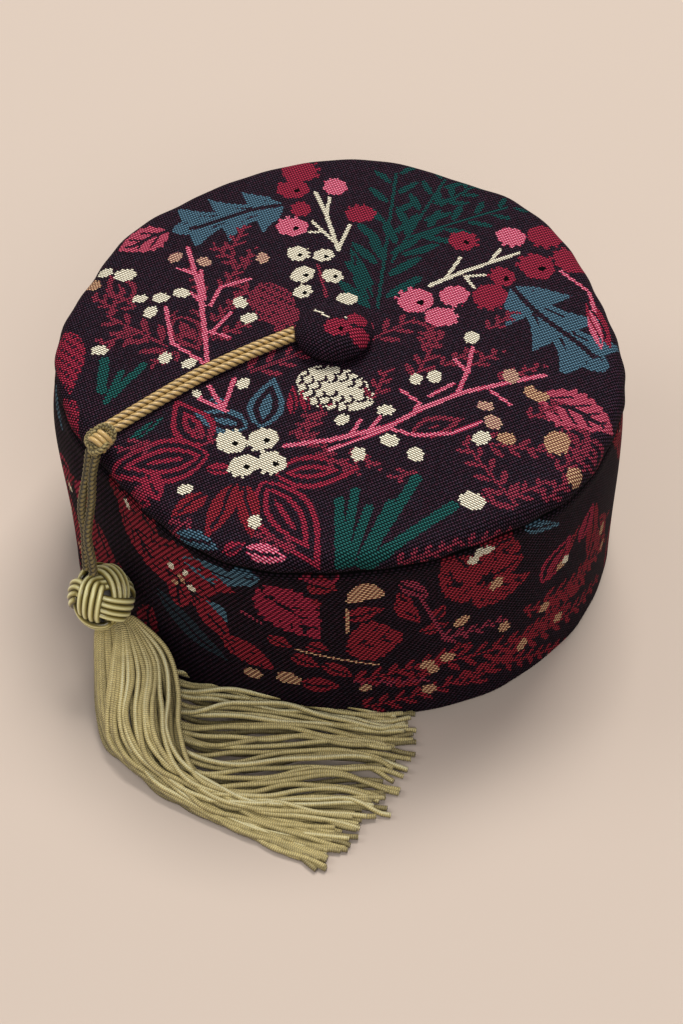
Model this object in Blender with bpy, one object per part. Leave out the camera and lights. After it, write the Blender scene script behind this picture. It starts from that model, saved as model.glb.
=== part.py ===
"""Smoking cap: a cloth drum with a soft domed top, a covered button, doubled cords and a long tassel.

Run with blender --background --python part.py, or from Blender's text editor.
Metres, +Z up. The origin lies on the resting surface, under the middle of the cap. The cap's
front, where the tassel lies, is at -Y.
"""

import math
from collections import namedtuple

import bmesh
import bpy
from mathutils import Matrix, Vector

# Cloth and clearances
CLOTH = 0.003
GAP = 0.0003
SLIVER = 0.00001

# Outline of the cap, seen from above
CAP_MIDDLE = (0.0014, -0.0005)
CROWN_HALF_WIDTH = 0.0927
CROWN_HALF_DEPTH = 0.0976
RIM_RADIUS = 0.0945

# Heights of the cap
SEAM_HEIGHT = 0.0773
SEAM_SLOPE = 0.027
SHOULDER_RADIUS = 0.005
SHOULDER_BULGE = 0.001
SHOULDER_BASE = 0.0015
CROWN_RISE = 0.0032
BAND_BELLY = 0.0004
BELLY_SKEW = 2.2
HEM_ROUND = 0.0008
SEAM_ROLL = 0.003

# Where the rings of the band and crown lie: shares of the band's height, bends over the shoulder
# in degrees, where 90 is its top, and shares of the crown's reach from its middle
BAND_SHARES_OUTSIDE = (0.2, 0.4, 0.6, 0.8)
BAND_SHARES_INSIDE = (0.7, 0.35)
BENDS_OUTSIDE = (90, 65, 42, 20, 0)
BENDS_INSIDE = (0, 45, 90)
DOME_SHARES_OUTSIDE = (0.02, 0.25, 0.5, 0.7, 0.88)
DOME_SHARES_INSIDE = (0.88, 0.6, 0.3, 0.02)

# Where the soft cloth leaves a true oval: direction and spread in degrees, push outward in metres
Dent = namedtuple("Dent", "direction spread push")
SEAM_DENTS = (
    Dent(direction=16, spread=18, push=-0.0034),
    Dent(direction=49, spread=8, push=0.0013),
    Dent(direction=66, spread=7, push=-0.0016),
    Dent(direction=86, spread=10, push=0.0007),
    Dent(direction=120, spread=20, push=-0.0027),
    Dent(direction=158, spread=10, push=-0.0020),
    Dent(direction=183, spread=14, push=0.0016),
    Dent(direction=220, spread=14, push=-0.0032),
    Dent(direction=250, spread=12, push=0.0021),
    Dent(direction=275, spread=12, push=-0.0013),
    Dent(direction=296, spread=12, push=-0.0016),
    Dent(direction=320, spread=13, push=0.0024),
    Dent(direction=342, spread=13, push=0.0015),
)
BELLY_DENTS = (
    Dent(direction=181, spread=28, push=0.0027),
    Dent(direction=345, spread=20, push=0.0008),
)
RIM_DENTS = (
    Dent(direction=195, spread=25, push=0.0011),
    Dent(direction=266, spread=24, push=-0.0017),
    Dent(direction=300, spread=14, push=0.0015),
    Dent(direction=328, spread=20, push=0.0012),
)
SHOULDER_DENTS = (
    Dent(direction=58, spread=4, push=-0.0011),
    Dent(direction=48, spread=4, push=-0.0009),
    Dent(direction=128, spread=5, push=-0.0008),
)

# Covered button
BUTTON_CENTRE = (-0.0011, -0.0040)
BUTTON_RADIUS = 0.0130
BUTTON_HEIGHT = 0.0092

# The button from its foot to the top of its face, as shares of its radius and of its height
Section = namedtuple("Section", "breadth height")
BUTTON_SECTIONS = (
    Section(breadth=0.80, height=0.0),
    Section(breadth=0.95, height=0.10),
    Section(breadth=1.0, height=0.26),
    Section(breadth=0.985, height=0.42),
    Section(breadth=0.93, height=0.58),
    Section(breadth=0.80, height=0.77),
    Section(breadth=0.58, height=0.91),
    Section(breadth=0.30, height=0.98),
    Section(breadth=0.06, height=1.0),
)

# Cords: the gold rope lies doubled on the crown, the olive cord hangs doubled from the edge knot
ROPE_DIAMETER = 0.0028
HANGING_CORD_DIAMETER = 0.003
CORD_STEP = 2.4
ROPE_ROUTE = (
    (-0.0152, -0.0028),
    (-0.0286, -0.0105),
    (-0.0441, -0.0204),
    (-0.0576, -0.0308),
    (-0.0712, -0.0417),
    (-0.0741, -0.0440),
)
HANGING_ROUTE = (
    (-0.0772, -0.0524, 0.0834),
    (-0.0786, -0.0547, 0.0780),
    (-0.0797, -0.0577, 0.0715),
    (-0.0804, -0.0611, 0.0635),
    (-0.0807, -0.0648, 0.0550),
    (-0.0804, -0.0682, 0.0445),
)

# Edge knot, where the rope's bight is hitched to the hanging cord's loop: its direction, its bend
# over the shoulder (90 is the top of the shoulder) and its height off the cloth
KNOT_DIRECTION = -146.5
KNOT_BEND = 70
KNOT_LIFT = 0.0048

# Loops of the edge knot: how far each lies forward and across from the knot's middle, its axis as
# parts forward, outward and across, the radius of the loop and the thickness of its cord
Loop = namedtuple("Loop", "name forward across axis radius thickness")
KNOT_LOOPS = (
    Loop("edge_knot", forward=0, across=0, axis=(1, 0, 0), radius=0.0030, thickness=ROPE_DIAMETER),
    Loop("loop_over", forward=0.0010, across=-0.0012, axis=(0, 1, 0), radius=0.0026, thickness=0.0028),
    Loop("loop_side", forward=-0.0018, across=0, axis=(0, 1, 1), radius=0.0026, thickness=0.0028),
)

# Tassel: a woven ball knot that leans on the band, and its skirt, which lies on the surface
BALL_RADIUS = 0.0113
BALL_CORE = 0.0099
BALL_DIRECTION = -139
BALL_HEIGHT = 0.034
BALL_AXIS = Vector((-0.22, 0.12, 0.97)).normalized()
BALL_LEADS = 3
BALL_BIGHTS = 4
BALL_REACH = 54
BALL_BAND_HALF = 0.0037
BALL_BAND_LIFT = 0.62
BALL_WEAVE_LIFT = 0.38
BALL_SETTLE = 0.0009
BALL_POLE = 86
NECK_RADIUS = 0.0078

# The neck below the ball knot: breadths as shares of its radius, heights below the knot in metres
NECK_SECTIONS = (
    Section(breadth=0.88, height=0.0),
    Section(breadth=1.0, height=0.002),
    Section(breadth=1.05, height=0.0084),
    Section(breadth=0.8, height=0.014),
)

# How every lock leaves the neck: the depth of its top, half its breadth and height there, how far
# it bows out before it falls, and the shares of its length at which it lies flat and is broadest
LOCK_TOP = 0.0028
LOCK_NECK_HALF = (0.0036, 0.0030)
LOCK_BOW = 0.0015
LOCK_BOW_SHARE = 0.4
LOCK_FLAT_SHARE = 0.33
LOCK_BROAD_SHARE = 0.4

# Locks of the skirt: the direction in degrees in which each leaves the neck, the points that it
# passes, and half its breadth and height where it bends and at its tip
Lock = namedtuple("Lock", "direction fall bend run tip bend_half tip_half")
LOCKS = (
    Lock(
        direction=190,
        fall=(-0.0816, -0.0770, 0.0110),
        bend=(-0.0761, -0.0970, 0.0055),
        run=(-0.0531, -0.1205, 0.0042),
        tip=(-0.0111, -0.1505, 0.0022),
        bend_half=(0.0052, 0.0046),
        tip_half=(0.0042, 0.0021),
    ),
    Lock(
        direction=228,
        fall=(-0.0786, -0.0820, 0.0135),
        bend=(-0.0691, -0.0990, 0.0082),
        run=(-0.0421, -0.1185, 0.0052),
        tip=(-0.0021, -0.1415, 0.0024),
        bend_half=(0.0066, 0.0056),
        tip_half=(0.0062, 0.0023),
    ),
    Lock(
        direction=262,
        fall=(-0.0736, -0.0845, 0.0155),
        bend=(-0.0611, -0.0970, 0.0102),
        run=(-0.0336, -0.1120, 0.0062),
        tip=(0.0079, -0.1310, 0.0026),
        bend_half=(0.0068, 0.0060),
        tip_half=(0.0064, 0.0025),
    ),
    Lock(
        direction=292,
        fall=(-0.0681, -0.0840, 0.0155),
        bend=(-0.0546, -0.0940, 0.0112),
        run=(-0.0271, -0.1055, 0.0070),
        tip=(0.0144, -0.1200, 0.0028),
        bend_half=(0.0062, 0.0056),
        tip_half=(0.0060, 0.0026),
    ),
    Lock(
        direction=330,
        fall=(-0.0651, -0.0810, 0.0110),
        bend=(-0.0466, -0.0920, 0.0060),
        run=(-0.0206, -0.1015, 0.0055),
        tip=(0.0194, -0.1085, 0.0028),
        bend_half=(0.0060, 0.0054),
        tip_half=(0.0056, 0.0026),
    ),
    Lock(
        direction=20,
        fall=(-0.0651, -0.0780, 0.0150),
        bend=(-0.0506, -0.0860, 0.0100),
        run=(-0.0256, -0.0960, 0.0084),
        tip=(0.0219, -0.0995, 0.0032),
        bend_half=(0.0040, 0.0036),
        tip_half=(0.0040, 0.0028),
    ),
    Lock(
        direction=250,
        fall=(-0.0731, -0.0805, 0.0095),
        bend=(-0.0626, -0.0930, 0.0062),
        run=(-0.0341, -0.1090, 0.0048),
        tip=(0.0054, -0.1270, 0.0024),
        bend_half=(0.0120, 0.0062),
        tip_half=(0.0150, 0.0023),
    ),
)

# Counts of facets
SEGMENTS = 64
BUTTON_SIDES = 32
LOOP_STEPS = 14
LOOP_SIDES = 8
BALL_TURNS = 36
BALL_LAYERS = 20
STRAND_STEPS = 60
NECK_SIDES = 16
LOCK_SIDES = 8
LOCK_STATIONS = 12
CURVE_STEPS = 20
SHARP_EDGE = 50

# Colour, roughness and metallic value of each material
Finish = namedtuple("Finish", "colour roughness metallic")
FINISHES = {
    "jacquard_cloth": Finish((0.030, 0.014, 0.026), 0.85, 0.0),
    "gold_satin_rope": Finish((0.60, 0.40, 0.16), 0.40, 0.0),
    "olive_cord": Finish((0.30, 0.26, 0.09), 0.60, 0.0),
    "olive_satin": Finish((0.42, 0.38, 0.14), 0.38, 0.0),
    "olive_gimp": Finish((0.40, 0.34, 0.13), 0.55, 0.0),
}


def clear_scene():
    for old in list(bpy.data.objects):
        bpy.data.objects.remove(old, do_unlink=True)


def material(name):
    found = bpy.data.materials.get(name)
    if found:
        return found
    finish = FINISHES[name]
    made = bpy.data.materials.new(name)
    made.use_nodes = True
    shader = made.node_tree.nodes["Principled BSDF"]
    shader.inputs["Base Color"].default_value = (*finish.colour, 1)
    shader.inputs["Roughness"].default_value = finish.roughness
    shader.inputs["Metallic"].default_value = finish.metallic
    made.diffuse_color = (*finish.colour, 1)
    return made


def mesh_object(name, points, faces, finish):
    mesh = bpy.data.meshes.new(name)
    mesh.from_pydata([tuple(point) for point in points], [], faces)
    mesh.shade_smooth()
    mesh.set_sharp_from_angle(angle=math.radians(SHARP_EDGE))
    mesh.materials.append(material(finish))
    made = bpy.data.objects.new(name, mesh)
    bpy.context.scene.collection.objects.link(made)
    return made


def facing_out(made):
    """Turns the faces of a closed mesh outward."""
    work = bmesh.new()
    work.from_mesh(made.data)
    bmesh.ops.recalc_face_normals(work, faces=work.faces)
    work.to_mesh(made.data)
    work.free()
    return made


def ring_solid(name, rings, finish, closed=False):
    """Joins rings of equal count. The ends are capped, or the last ring meets the first."""
    count = len(rings[0])
    points = [point for ring in rings for point in ring]
    faces = []
    for row in range(len(rings) if closed else len(rings) - 1):
        here = row * count
        above = (row + 1) % len(rings) * count
        for column in range(count):
            beside = (column + 1) % count
            faces.append((here + column, here + beside, above + beside, above + column))
    if not closed:
        for ring, first in ((rings[0], 0), (rings[-1], (len(rings) - 1) * count)):
            middle = len(points)
            points.append(sum(ring, Vector()) / count)
            for column in range(count):
                faces.append((middle, first + column, first + (column + 1) % count))
    return facing_out(mesh_object(name, points, faces, finish))


def angle_from(direction, other):
    return (direction - other + 180) % 360 - 180


def dent_sum(dents, direction):
    """How far the cloth is pushed outward at a direction in degrees."""
    total = 0.0
    for dent in dents:
        spreads = angle_from(direction, dent.direction) / dent.spread
        total += dent.push * math.exp(-(spreads**2))
    return total


def seam_radius(direction):
    turn = math.radians(direction)
    oval = 1 / math.hypot(math.cos(turn) / CROWN_HALF_WIDTH, math.sin(turn) / CROWN_HALF_DEPTH)
    return oval + dent_sum(SEAM_DENTS, direction)


def rim_radius(direction):
    return RIM_RADIUS + dent_sum(RIM_DENTS, direction)


def around(direction, radius, height=0.0):
    turn = math.radians(direction)
    return Vector((radius * math.cos(turn), radius * math.sin(turn), height))


def on_outline(direction, radius):
    """A point at a radius from the middle of the cap's outline, which its dents leave off the origin."""
    return Vector((*CAP_MIDDLE, 0)) + around(direction, radius)


def seam_height(y):
    return SEAM_HEIGHT + SEAM_SLOPE * y


def band_radius(direction, share):
    """Outer radius of the band at a share of its height, 0 at the rim and 1 at the seam."""
    straight = rim_radius(direction) * (1 - share) + seam_radius(direction) * share
    belly = BAND_BELLY + dent_sum(BELLY_DENTS, direction)
    return straight + belly * math.sin(math.pi * share**BELLY_SKEW)


def directions():
    return [360 * step / SEGMENTS for step in range(SEGMENTS)]


def band_ring(share, inset):
    ring = []
    for direction in directions():
        radius = band_radius(direction, share) - inset
        place = on_outline(direction, radius)
        place.z = share * (seam_height(place.y) - GAP / 2)
        ring.append(place)
    return ring


def side_band():
    """The band: one wall of cloth, a rounded hem that rests on its flat rim, a roll at the seam."""
    hem = HEM_ROUND / SEAM_HEIGHT
    roll = 1 - SEAM_ROLL / SEAM_HEIGHT
    rings = [band_ring(0, HEM_ROUND), band_ring(hem, 0)]
    rings += [band_ring(share, 0) for share in BAND_SHARES_OUTSIDE]
    rings += [band_ring(roll, -SHOULDER_BULGE / 2), band_ring(1, 0)]
    rings += [band_ring(1, CLOTH), band_ring(roll, CLOTH)]
    rings += [band_ring(share, CLOTH) for share in BAND_SHARES_INSIDE]
    rings += [band_ring(hem, CLOTH), band_ring(0, CLOTH - HEM_ROUND)]
    return ring_solid("side_band", rings, "jacquard_cloth", closed=True)


def crown_edge_inset():
    """How far in from the seam the flat of the crown begins."""
    return SHOULDER_RADIUS - SHOULDER_BULGE


def dome_height(x, y):
    """Height of the crown's outer face inside its shoulder."""
    from_middle = Vector((x, y)) - Vector(CAP_MIDDLE)
    direction = math.degrees(math.atan2(from_middle.y, from_middle.x))
    reach = from_middle.length / (seam_radius(direction) - crown_edge_inset())
    return seam_height(y) + SHOULDER_BASE + SHOULDER_RADIUS + CROWN_RISE * (1 - reach**2)


def shoulder_ring(bend, inward):
    """A ring on the crown's shoulder, at a bend of 0 to 90 degrees, some way inside its outer face."""
    ring = []
    radius = SHOULDER_RADIUS - inward
    for direction in directions():
        puckered = dent_sum(SHOULDER_DENTS, direction) * math.sin(math.radians(2 * bend))
        turn = math.radians(bend)
        outward = seam_radius(direction) - crown_edge_inset() + radius * math.cos(turn) + puckered
        place = on_outline(direction, outward)
        place.z = seam_height(place.y) + SHOULDER_BASE + radius * math.sin(turn)
        ring.append(place)
    return ring


def dome_ring(share, inward):
    ring = []
    for direction in directions():
        place = on_outline(direction, share * (seam_radius(direction) - crown_edge_inset()))
        place.z = dome_height(place.x, place.y) - inward
        ring.append(place)
    return ring


def foot_ring(inset):
    ring = []
    for direction in directions():
        place = on_outline(direction, seam_radius(direction) - inset)
        place.z = seam_height(place.y) + GAP / 2
        ring.append(place)
    return ring


def crown_top():
    """The crown: a domed shell of cloth, its shoulder rolled down to the seam."""
    rings = [dome_ring(share, 0) for share in DOME_SHARES_OUTSIDE]
    rings += [shoulder_ring(bend, 0) for bend in BENDS_OUTSIDE]
    rings += [foot_ring(0), foot_ring(CLOTH)]
    rings += [shoulder_ring(bend, CLOTH) for bend in BENDS_INSIDE]
    rings += [dome_ring(share, CLOTH) for share in DOME_SHARES_INSIDE]
    return ring_solid("crown_top", rings, "jacquard_cloth")


def button_seat():
    """The height at which the button's flat back clears the crown."""
    x, y = BUTTON_CENTRE
    edge = [around(direction, BUTTON_RADIUS) for direction in directions()]
    return GAP + max(dome_height(x + step.x, y + step.y) for step in [*edge, Vector()])


def covered_button():
    """A round button with a rolled edge and a domed face, covered in the cloth of the cap."""
    centre = Vector((*BUTTON_CENTRE, button_seat()))
    rings = []
    for section in BUTTON_SECTIONS:
        ring = []
        for step in range(BUTTON_SIDES):
            outward = around(360 * step / BUTTON_SIDES, section.breadth * BUTTON_RADIUS)
            ring.append(centre + outward + Vector((0, 0, section.height * BUTTON_HEIGHT)))
        rings.append(ring)
    return ring_solid("covered_button", rings, "jacquard_cloth")


def smooth_route(route, spacing=None, count=None):
    """Evenly spaced points along a smooth curve through the route's own points."""
    knots = [Vector(point) for point in route]
    knots = [2 * knots[0] - knots[1], *knots, 2 * knots[-1] - knots[-2]]
    fine = []
    for a, b, c, d in zip(knots, knots[1:], knots[2:], knots[3:]):
        for step in range(CURVE_STEPS):
            t = step / CURVE_STEPS
            square = 2 * a - 5 * b + 4 * c - d
            cube = 3 * b - a - 3 * c + d
            fine.append(0.5 * (2 * b + (c - a) * t + square * t**2 + cube * t**3))
    fine.append(knots[-2])
    travelled = [0.0]
    for before, after in zip(fine, fine[1:]):
        travelled.append(travelled[-1] + (after - before).length)
    if count is None:
        count = round(travelled[-1] / spacing)
    points = []
    at = 0
    for step in range(count + 1):
        wanted = travelled[-1] * step / count
        while at < len(fine) - 2 and travelled[at + 1] < wanted:
            at += 1
        share = (wanted - travelled[at]) / (travelled[at + 1] - travelled[at])
        points.append(fine[at].lerp(fine[at + 1], share))
    return points


def cord_tube(name, points, diameter, finish):
    """A plain tube along a cord's centre line."""
    curve = bpy.data.curves.new(name, "CURVE")
    curve.dimensions = "3D"
    curve.bevel_depth = diameter / 2
    curve.bevel_resolution = 2
    curve.use_fill_caps = True
    spline = curve.splines.new("POLY")
    spline.points.add(len(points) - 1)
    for slot, point in zip(spline.points, points):
        slot.co = (*point, 1)
    spline.use_smooth = True
    curve.materials.append(material(finish))
    made = bpy.data.objects.new(name, curve)
    bpy.context.scene.collection.objects.link(made)
    return made


def beside(points, offset):
    """The same route moved sideways, level with the surface that the object stands on."""
    moved = []
    for place, point in enumerate(points):
        ahead = points[min(place + 1, len(points) - 1)]
        behind = points[max(place - 1, 0)]
        along = Vector((ahead.x - behind.x, ahead.y - behind.y, 0)).normalized()
        moved.append(point + offset * Vector((-along.y, along.x, 0)))
    return moved


def top_cords():
    """The doubled gold rope, laid on the crown from the button to the edge knot."""
    middle = smooth_route([(x, y, 0) for x, y in ROPE_ROUTE], CORD_STEP * ROPE_DIAMETER)
    for letter, side in (("a", 1), ("b", -1)):
        laid = beside(middle, side * (ROPE_DIAMETER + GAP) / 2)
        for point in laid:
            point.z = dome_height(point.x, point.y) + ROPE_DIAMETER / 2 + GAP
        cord_tube(f"top_cord_{letter}", laid, ROPE_DIAMETER, "gold_satin_rope")


def hanging_cords():
    """The doubled olive cord, from the edge knot down to the ball knot."""
    middle = smooth_route(HANGING_ROUTE, CORD_STEP * HANGING_CORD_DIAMETER)
    for letter, side in (("a", 1), ("b", -1)):
        across = side * (HANGING_CORD_DIAMETER + GAP) / 2 * around(BALL_DIRECTION + 90, 1)
        hung = [point + across for point in middle]
        cord_tube(f"hanging_cord_{letter}", hung, HANGING_CORD_DIAMETER, "olive_cord")


def torus(name, centre, axis, major, minor, finish):
    """A closed loop of cord."""
    side = axis.orthogonal().normalized()
    rings = []
    for step in range(LOOP_STEPS):
        spin = Matrix.Rotation(2 * math.pi * step / LOOP_STEPS, 3, axis)
        outward = spin @ side
        ring = []
        for turn in range(LOOP_SIDES):
            angle = 2 * math.pi * turn / LOOP_SIDES
            reach = major + minor * math.cos(angle)
            ring.append(centre + reach * outward + minor * math.sin(angle) * axis)
        rings.append(ring)
    return ring_solid(name, rings, finish, closed=True)


def outermost(mesh):
    """Deletes the walls of pockets sealed inside a fused solid, so that it is solid all through."""
    work = bmesh.new()
    work.from_mesh(mesh)
    bmesh.ops.triangulate(work, faces=work.faces)
    bmesh.ops.remove_doubles(work, verts=work.verts, dist=SLIVER)
    bmesh.ops.dissolve_degenerate(work, edges=work.edges, dist=SLIVER)
    unseen = set(work.faces)
    shells = []
    while unseen:
        shell = [unseen.pop()]
        for face in shell:
            joined = [edge for edge in face.edges if len(edge.link_faces) == 2]
            beside = {other for edge in joined for other in edge.link_faces} & unseen
            unseen -= beside
            shell.extend(beside)
        shells.append(shell)
    shells.sort(key=lambda shell: sum(face.calc_area() for face in shell))
    for shell in shells[:-1]:
        bmesh.ops.delete(work, geom=shell, context="FACES")
    work.to_mesh(mesh)
    work.free()


def fuse(made, others):
    """Joins other solids to one by a union."""
    helpers = bpy.data.collections.new(made.name + "_pieces")
    bpy.context.scene.collection.children.link(helpers)
    for other in others:
        bpy.context.scene.collection.objects.unlink(other)
        helpers.objects.link(other)
    union = made.modifiers.new("fuse", "BOOLEAN")
    union.operation = "UNION"
    union.operand_type = "COLLECTION"
    union.collection = helpers
    union.solver = "EXACT"
    bpy.context.view_layer.update()
    graph = bpy.context.evaluated_depsgraph_get()
    joined = bpy.data.meshes.new_from_object(made.evaluated_get(graph))
    outermost(joined)
    made.modifiers.remove(union)
    made.data = joined
    for other in others:
        bpy.data.objects.remove(other, do_unlink=True)
    bpy.data.collections.remove(helpers)
    return made


def edge_knot():
    """Two bights hitched through each other where the rope ends and the hanging cord begins."""
    bend = math.radians(KNOT_BEND)
    away = around(KNOT_DIRECTION, 1)
    across = around(KNOT_DIRECTION + 90, 1)
    outward = away * math.cos(bend) + Vector((0, 0, math.sin(bend)))
    forward = away * math.sin(bend) - Vector((0, 0, math.cos(bend)))
    centre = on_outline(KNOT_DIRECTION, seam_radius(KNOT_DIRECTION) - crown_edge_inset())
    centre.z = seam_height(centre.y) + SHOULDER_BASE
    centre += (SHOULDER_RADIUS + KNOT_LIFT) * outward
    loops = []
    for loop in KNOT_LOOPS:
        middle = centre + loop.forward * forward + loop.across * across
        axis = loop.axis[0] * forward + loop.axis[1] * outward + loop.axis[2] * across
        made = torus(loop.name, middle, axis.normalized(), loop.radius, loop.thickness / 2, "olive_cord")
        loops.append(made)
    return fuse(loops[0], loops[1:])


def ball_centre():
    share = BALL_HEIGHT / SEAM_HEIGHT
    reach = band_radius(BALL_DIRECTION, share) + GAP + BALL_RADIUS - BALL_SETTLE
    return on_outline(BALL_DIRECTION, reach) + Vector((0, 0, BALL_HEIGHT))


def ball_frame():
    """Three directions at right angles, the last along the ball knot's own axis."""
    side = Vector((0, 1, 0)).cross(BALL_AXIS).normalized()
    return side, BALL_AXIS.cross(side), BALL_AXIS


def on_globe(turn, tilt):
    """A direction at a turn round an axis and a tilt towards it, both in radians."""
    return Vector((math.cos(tilt) * math.cos(turn), math.cos(tilt) * math.sin(turn), math.sin(tilt)))


def woven_path():
    """Directions and lift along the knot's strand, which passes over and under itself in turn."""
    path = []
    for step in range(STRAND_STEPS * BALL_LEADS):
        turn = 2 * math.pi * step / STRAND_STEPS
        phase = BALL_BIGHTS * turn / BALL_LEADS
        tilt = math.radians(BALL_REACH) * math.cos(phase)
        path.append((on_globe(turn, tilt), math.sin((BALL_LEADS - 1) * phase)))
    return path


def turks_head_knot():
    """A ball whose face shows the broad woven strand in relief."""
    path = woven_path()
    side, front, up = ball_frame()
    centre = ball_centre()
    relief = BALL_RADIUS - BALL_CORE
    reach = BALL_BAND_HALF / BALL_RADIUS
    rings = []
    for layer in range(BALL_LAYERS + 1):
        tilt = math.radians(BALL_POLE * (2 * layer / BALL_LAYERS - 1))
        ring = []
        for step in range(BALL_TURNS):
            way = on_globe(2 * math.pi * step / BALL_TURNS, tilt)
            height = 0.0
            for strand, lift in path:
                apart = (strand - way).length / reach
                if apart < 1:
                    crest = BALL_BAND_LIFT + BALL_WEAVE_LIFT * lift
                    height = max(height, crest * math.sqrt(1 - apart**2))
            radius = BALL_CORE + relief * height
            ring.append(centre + radius * (way.x * side + way.y * front + way.z * up))
        rings.append(ring)
    return ring_solid("turks_head_knot", rings, "olive_satin")


def neck_end(height):
    """A point on the neck's axis, at a distance below the ball knot."""
    return ball_centre() - (BALL_CORE + GAP + height) * BALL_AXIS


def blend(a, b, share):
    return tuple(p + (q - p) * share for p, q in zip(a, b))


def lock_solid(name, lock):
    """One lock: a flattened tube from the neck, down to the surface and along it to its tip."""
    outward = around(lock.direction, 1)
    top = neck_end(LOCK_TOP) + (NECK_RADIUS - LOCK_NECK_HALF[1]) * outward
    bow = top.lerp(Vector(lock.fall), LOCK_BOW_SHARE) + LOCK_BOW * outward
    points = smooth_route([top, bow, lock.fall, lock.bend, lock.run, lock.tip], count=LOCK_STATIONS)
    rings = []
    for place, point in enumerate(points):
        share = place / (len(points) - 1)
        along = (points[min(place + 1, len(points) - 1)] - points[max(place - 1, 0)]).normalized()
        face = outward.lerp(Vector((0, 0, 1)), min(1, share / LOCK_FLAT_SHARE))
        face = (face - face.dot(along) * along).normalized()
        across = along.cross(face)
        if share < LOCK_BROAD_SHARE:
            half = blend(LOCK_NECK_HALF, lock.bend_half, share / LOCK_BROAD_SHARE)
        else:
            half = blend(lock.bend_half, lock.tip_half, (share - LOCK_BROAD_SHARE) / (1 - LOCK_BROAD_SHARE))
        ring = []
        for turn in range(LOCK_SIDES):
            angle = 2 * math.pi * (turn + 0.5) / LOCK_SIDES
            corner = point + half[0] * math.cos(angle) * across + half[1] * math.sin(angle) * face
            corner.z = max(corner.z, 0)
            ring.append(corner)
        rings.append(ring)
    return ring_solid(name, rings, "olive_gimp")


def tassel_skirt():
    """The neck under the ball knot, with the locks fused to it."""
    side, front, _ = ball_frame()
    rings = []
    for section in NECK_SECTIONS:
        centre = neck_end(section.height)
        ring = []
        for step in range(NECK_SIDES):
            turn = 2 * math.pi * step / NECK_SIDES
            outward = math.cos(turn) * side + math.sin(turn) * front
            ring.append(centre + section.breadth * NECK_RADIUS * outward)
        rings.append(ring)
    neck = ring_solid("tassel_skirt", rings, "olive_gimp")
    locks = [lock_solid(f"lock_{place + 1}", lock) for place, lock in enumerate(LOCKS)]
    return fuse(neck, locks)


def build():
    clear_scene()
    side_band()
    crown_top()
    covered_button()
    top_cords()
    edge_knot()
    hanging_cords()
    turks_head_knot()
    tassel_skirt()


build()
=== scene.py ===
"""Smoking cap: jacquard cloth crown and band, covered button, doubled cords, woven ball knot and tassel."""

import math
from collections import namedtuple

import bpy
import numpy as np
from mathutils import Matrix, Vector


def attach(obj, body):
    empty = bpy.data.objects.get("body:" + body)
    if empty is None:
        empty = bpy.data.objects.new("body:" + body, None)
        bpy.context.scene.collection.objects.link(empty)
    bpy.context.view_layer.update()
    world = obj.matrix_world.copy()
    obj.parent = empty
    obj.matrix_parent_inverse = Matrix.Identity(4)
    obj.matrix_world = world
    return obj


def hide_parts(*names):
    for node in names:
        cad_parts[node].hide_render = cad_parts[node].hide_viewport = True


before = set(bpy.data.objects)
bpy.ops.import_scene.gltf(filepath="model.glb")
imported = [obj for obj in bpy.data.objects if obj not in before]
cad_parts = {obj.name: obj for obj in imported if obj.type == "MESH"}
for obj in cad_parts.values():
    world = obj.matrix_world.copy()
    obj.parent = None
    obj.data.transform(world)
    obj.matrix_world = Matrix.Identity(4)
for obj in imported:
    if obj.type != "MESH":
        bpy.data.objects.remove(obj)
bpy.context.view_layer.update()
MM = 0.001
UP = (0.0, 0.0, 1.0)
rng = np.random.default_rng(7)

# Camera: its place, the angles in degrees at which it looks down, turns and rolls, and its focal length
CAMERA_PLACE = Vector((0.0030, -0.5533, 0.5674))
CAMERA_DOWN = 45.636
CAMERA_TURN = -0.236
CAMERA_ROLL = -0.609
FOCAL_PIXELS = 2207.3
IMAGE_HEIGHT = 1024
SENSOR = 36
NEAREST_SEEN = 0.01

# Light: a name, a place, the side of the lamp, its power and its colour. The room gives the rest
Lamp = namedtuple("Lamp", "name place side power colour")
LAMPS = (
    Lamp("key", (0.35, 1.1, 2.2), 1.0, 45.0, (1.0, 0.965, 0.925)),
    Lamp("left", (-1.3, 0.2, 1.2), 0.8, 6.0, (1.0, 0.98, 0.96)),
    Lamp("front", (0.3, -1.5, 1.4), 1.0, 14.0, (1.0, 0.97, 0.95)),
)
LIT_POINT = Vector((0, 0, 0.04))
ROOM_COLOUR = (0.93, 0.93, 0.96)
ROOM_STRENGTH = 0.27
FLOOR_HALF = 6.0

# Outline and heights of the cap, as its solids have them
CAP_MIDDLE = (0.0014, -0.0005)
CROWN_HALF_WIDTH = 0.0927
CROWN_HALF_DEPTH = 0.0976
RIM_RADIUS = 0.0945
CLOTH = 0.003
SEAM_HEIGHT = 0.0773
SEAM_SLOPE = 0.027
SHOULDER_RADIUS = 0.005
SHOULDER_BULGE = 0.001
SHOULDER_BASE = 0.0015
CROWN_RISE = 0.0032
BAND_BELLY = 0.0004
BELLY_SKEW = 2.2
CROWN_INSET = SHOULDER_RADIUS - SHOULDER_BULGE
SHOULDER_ARC = SHOULDER_RADIUS * math.pi / 2
SEAM_TUCK = 0.0016
HEM_ROUND = 0.0009

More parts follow.
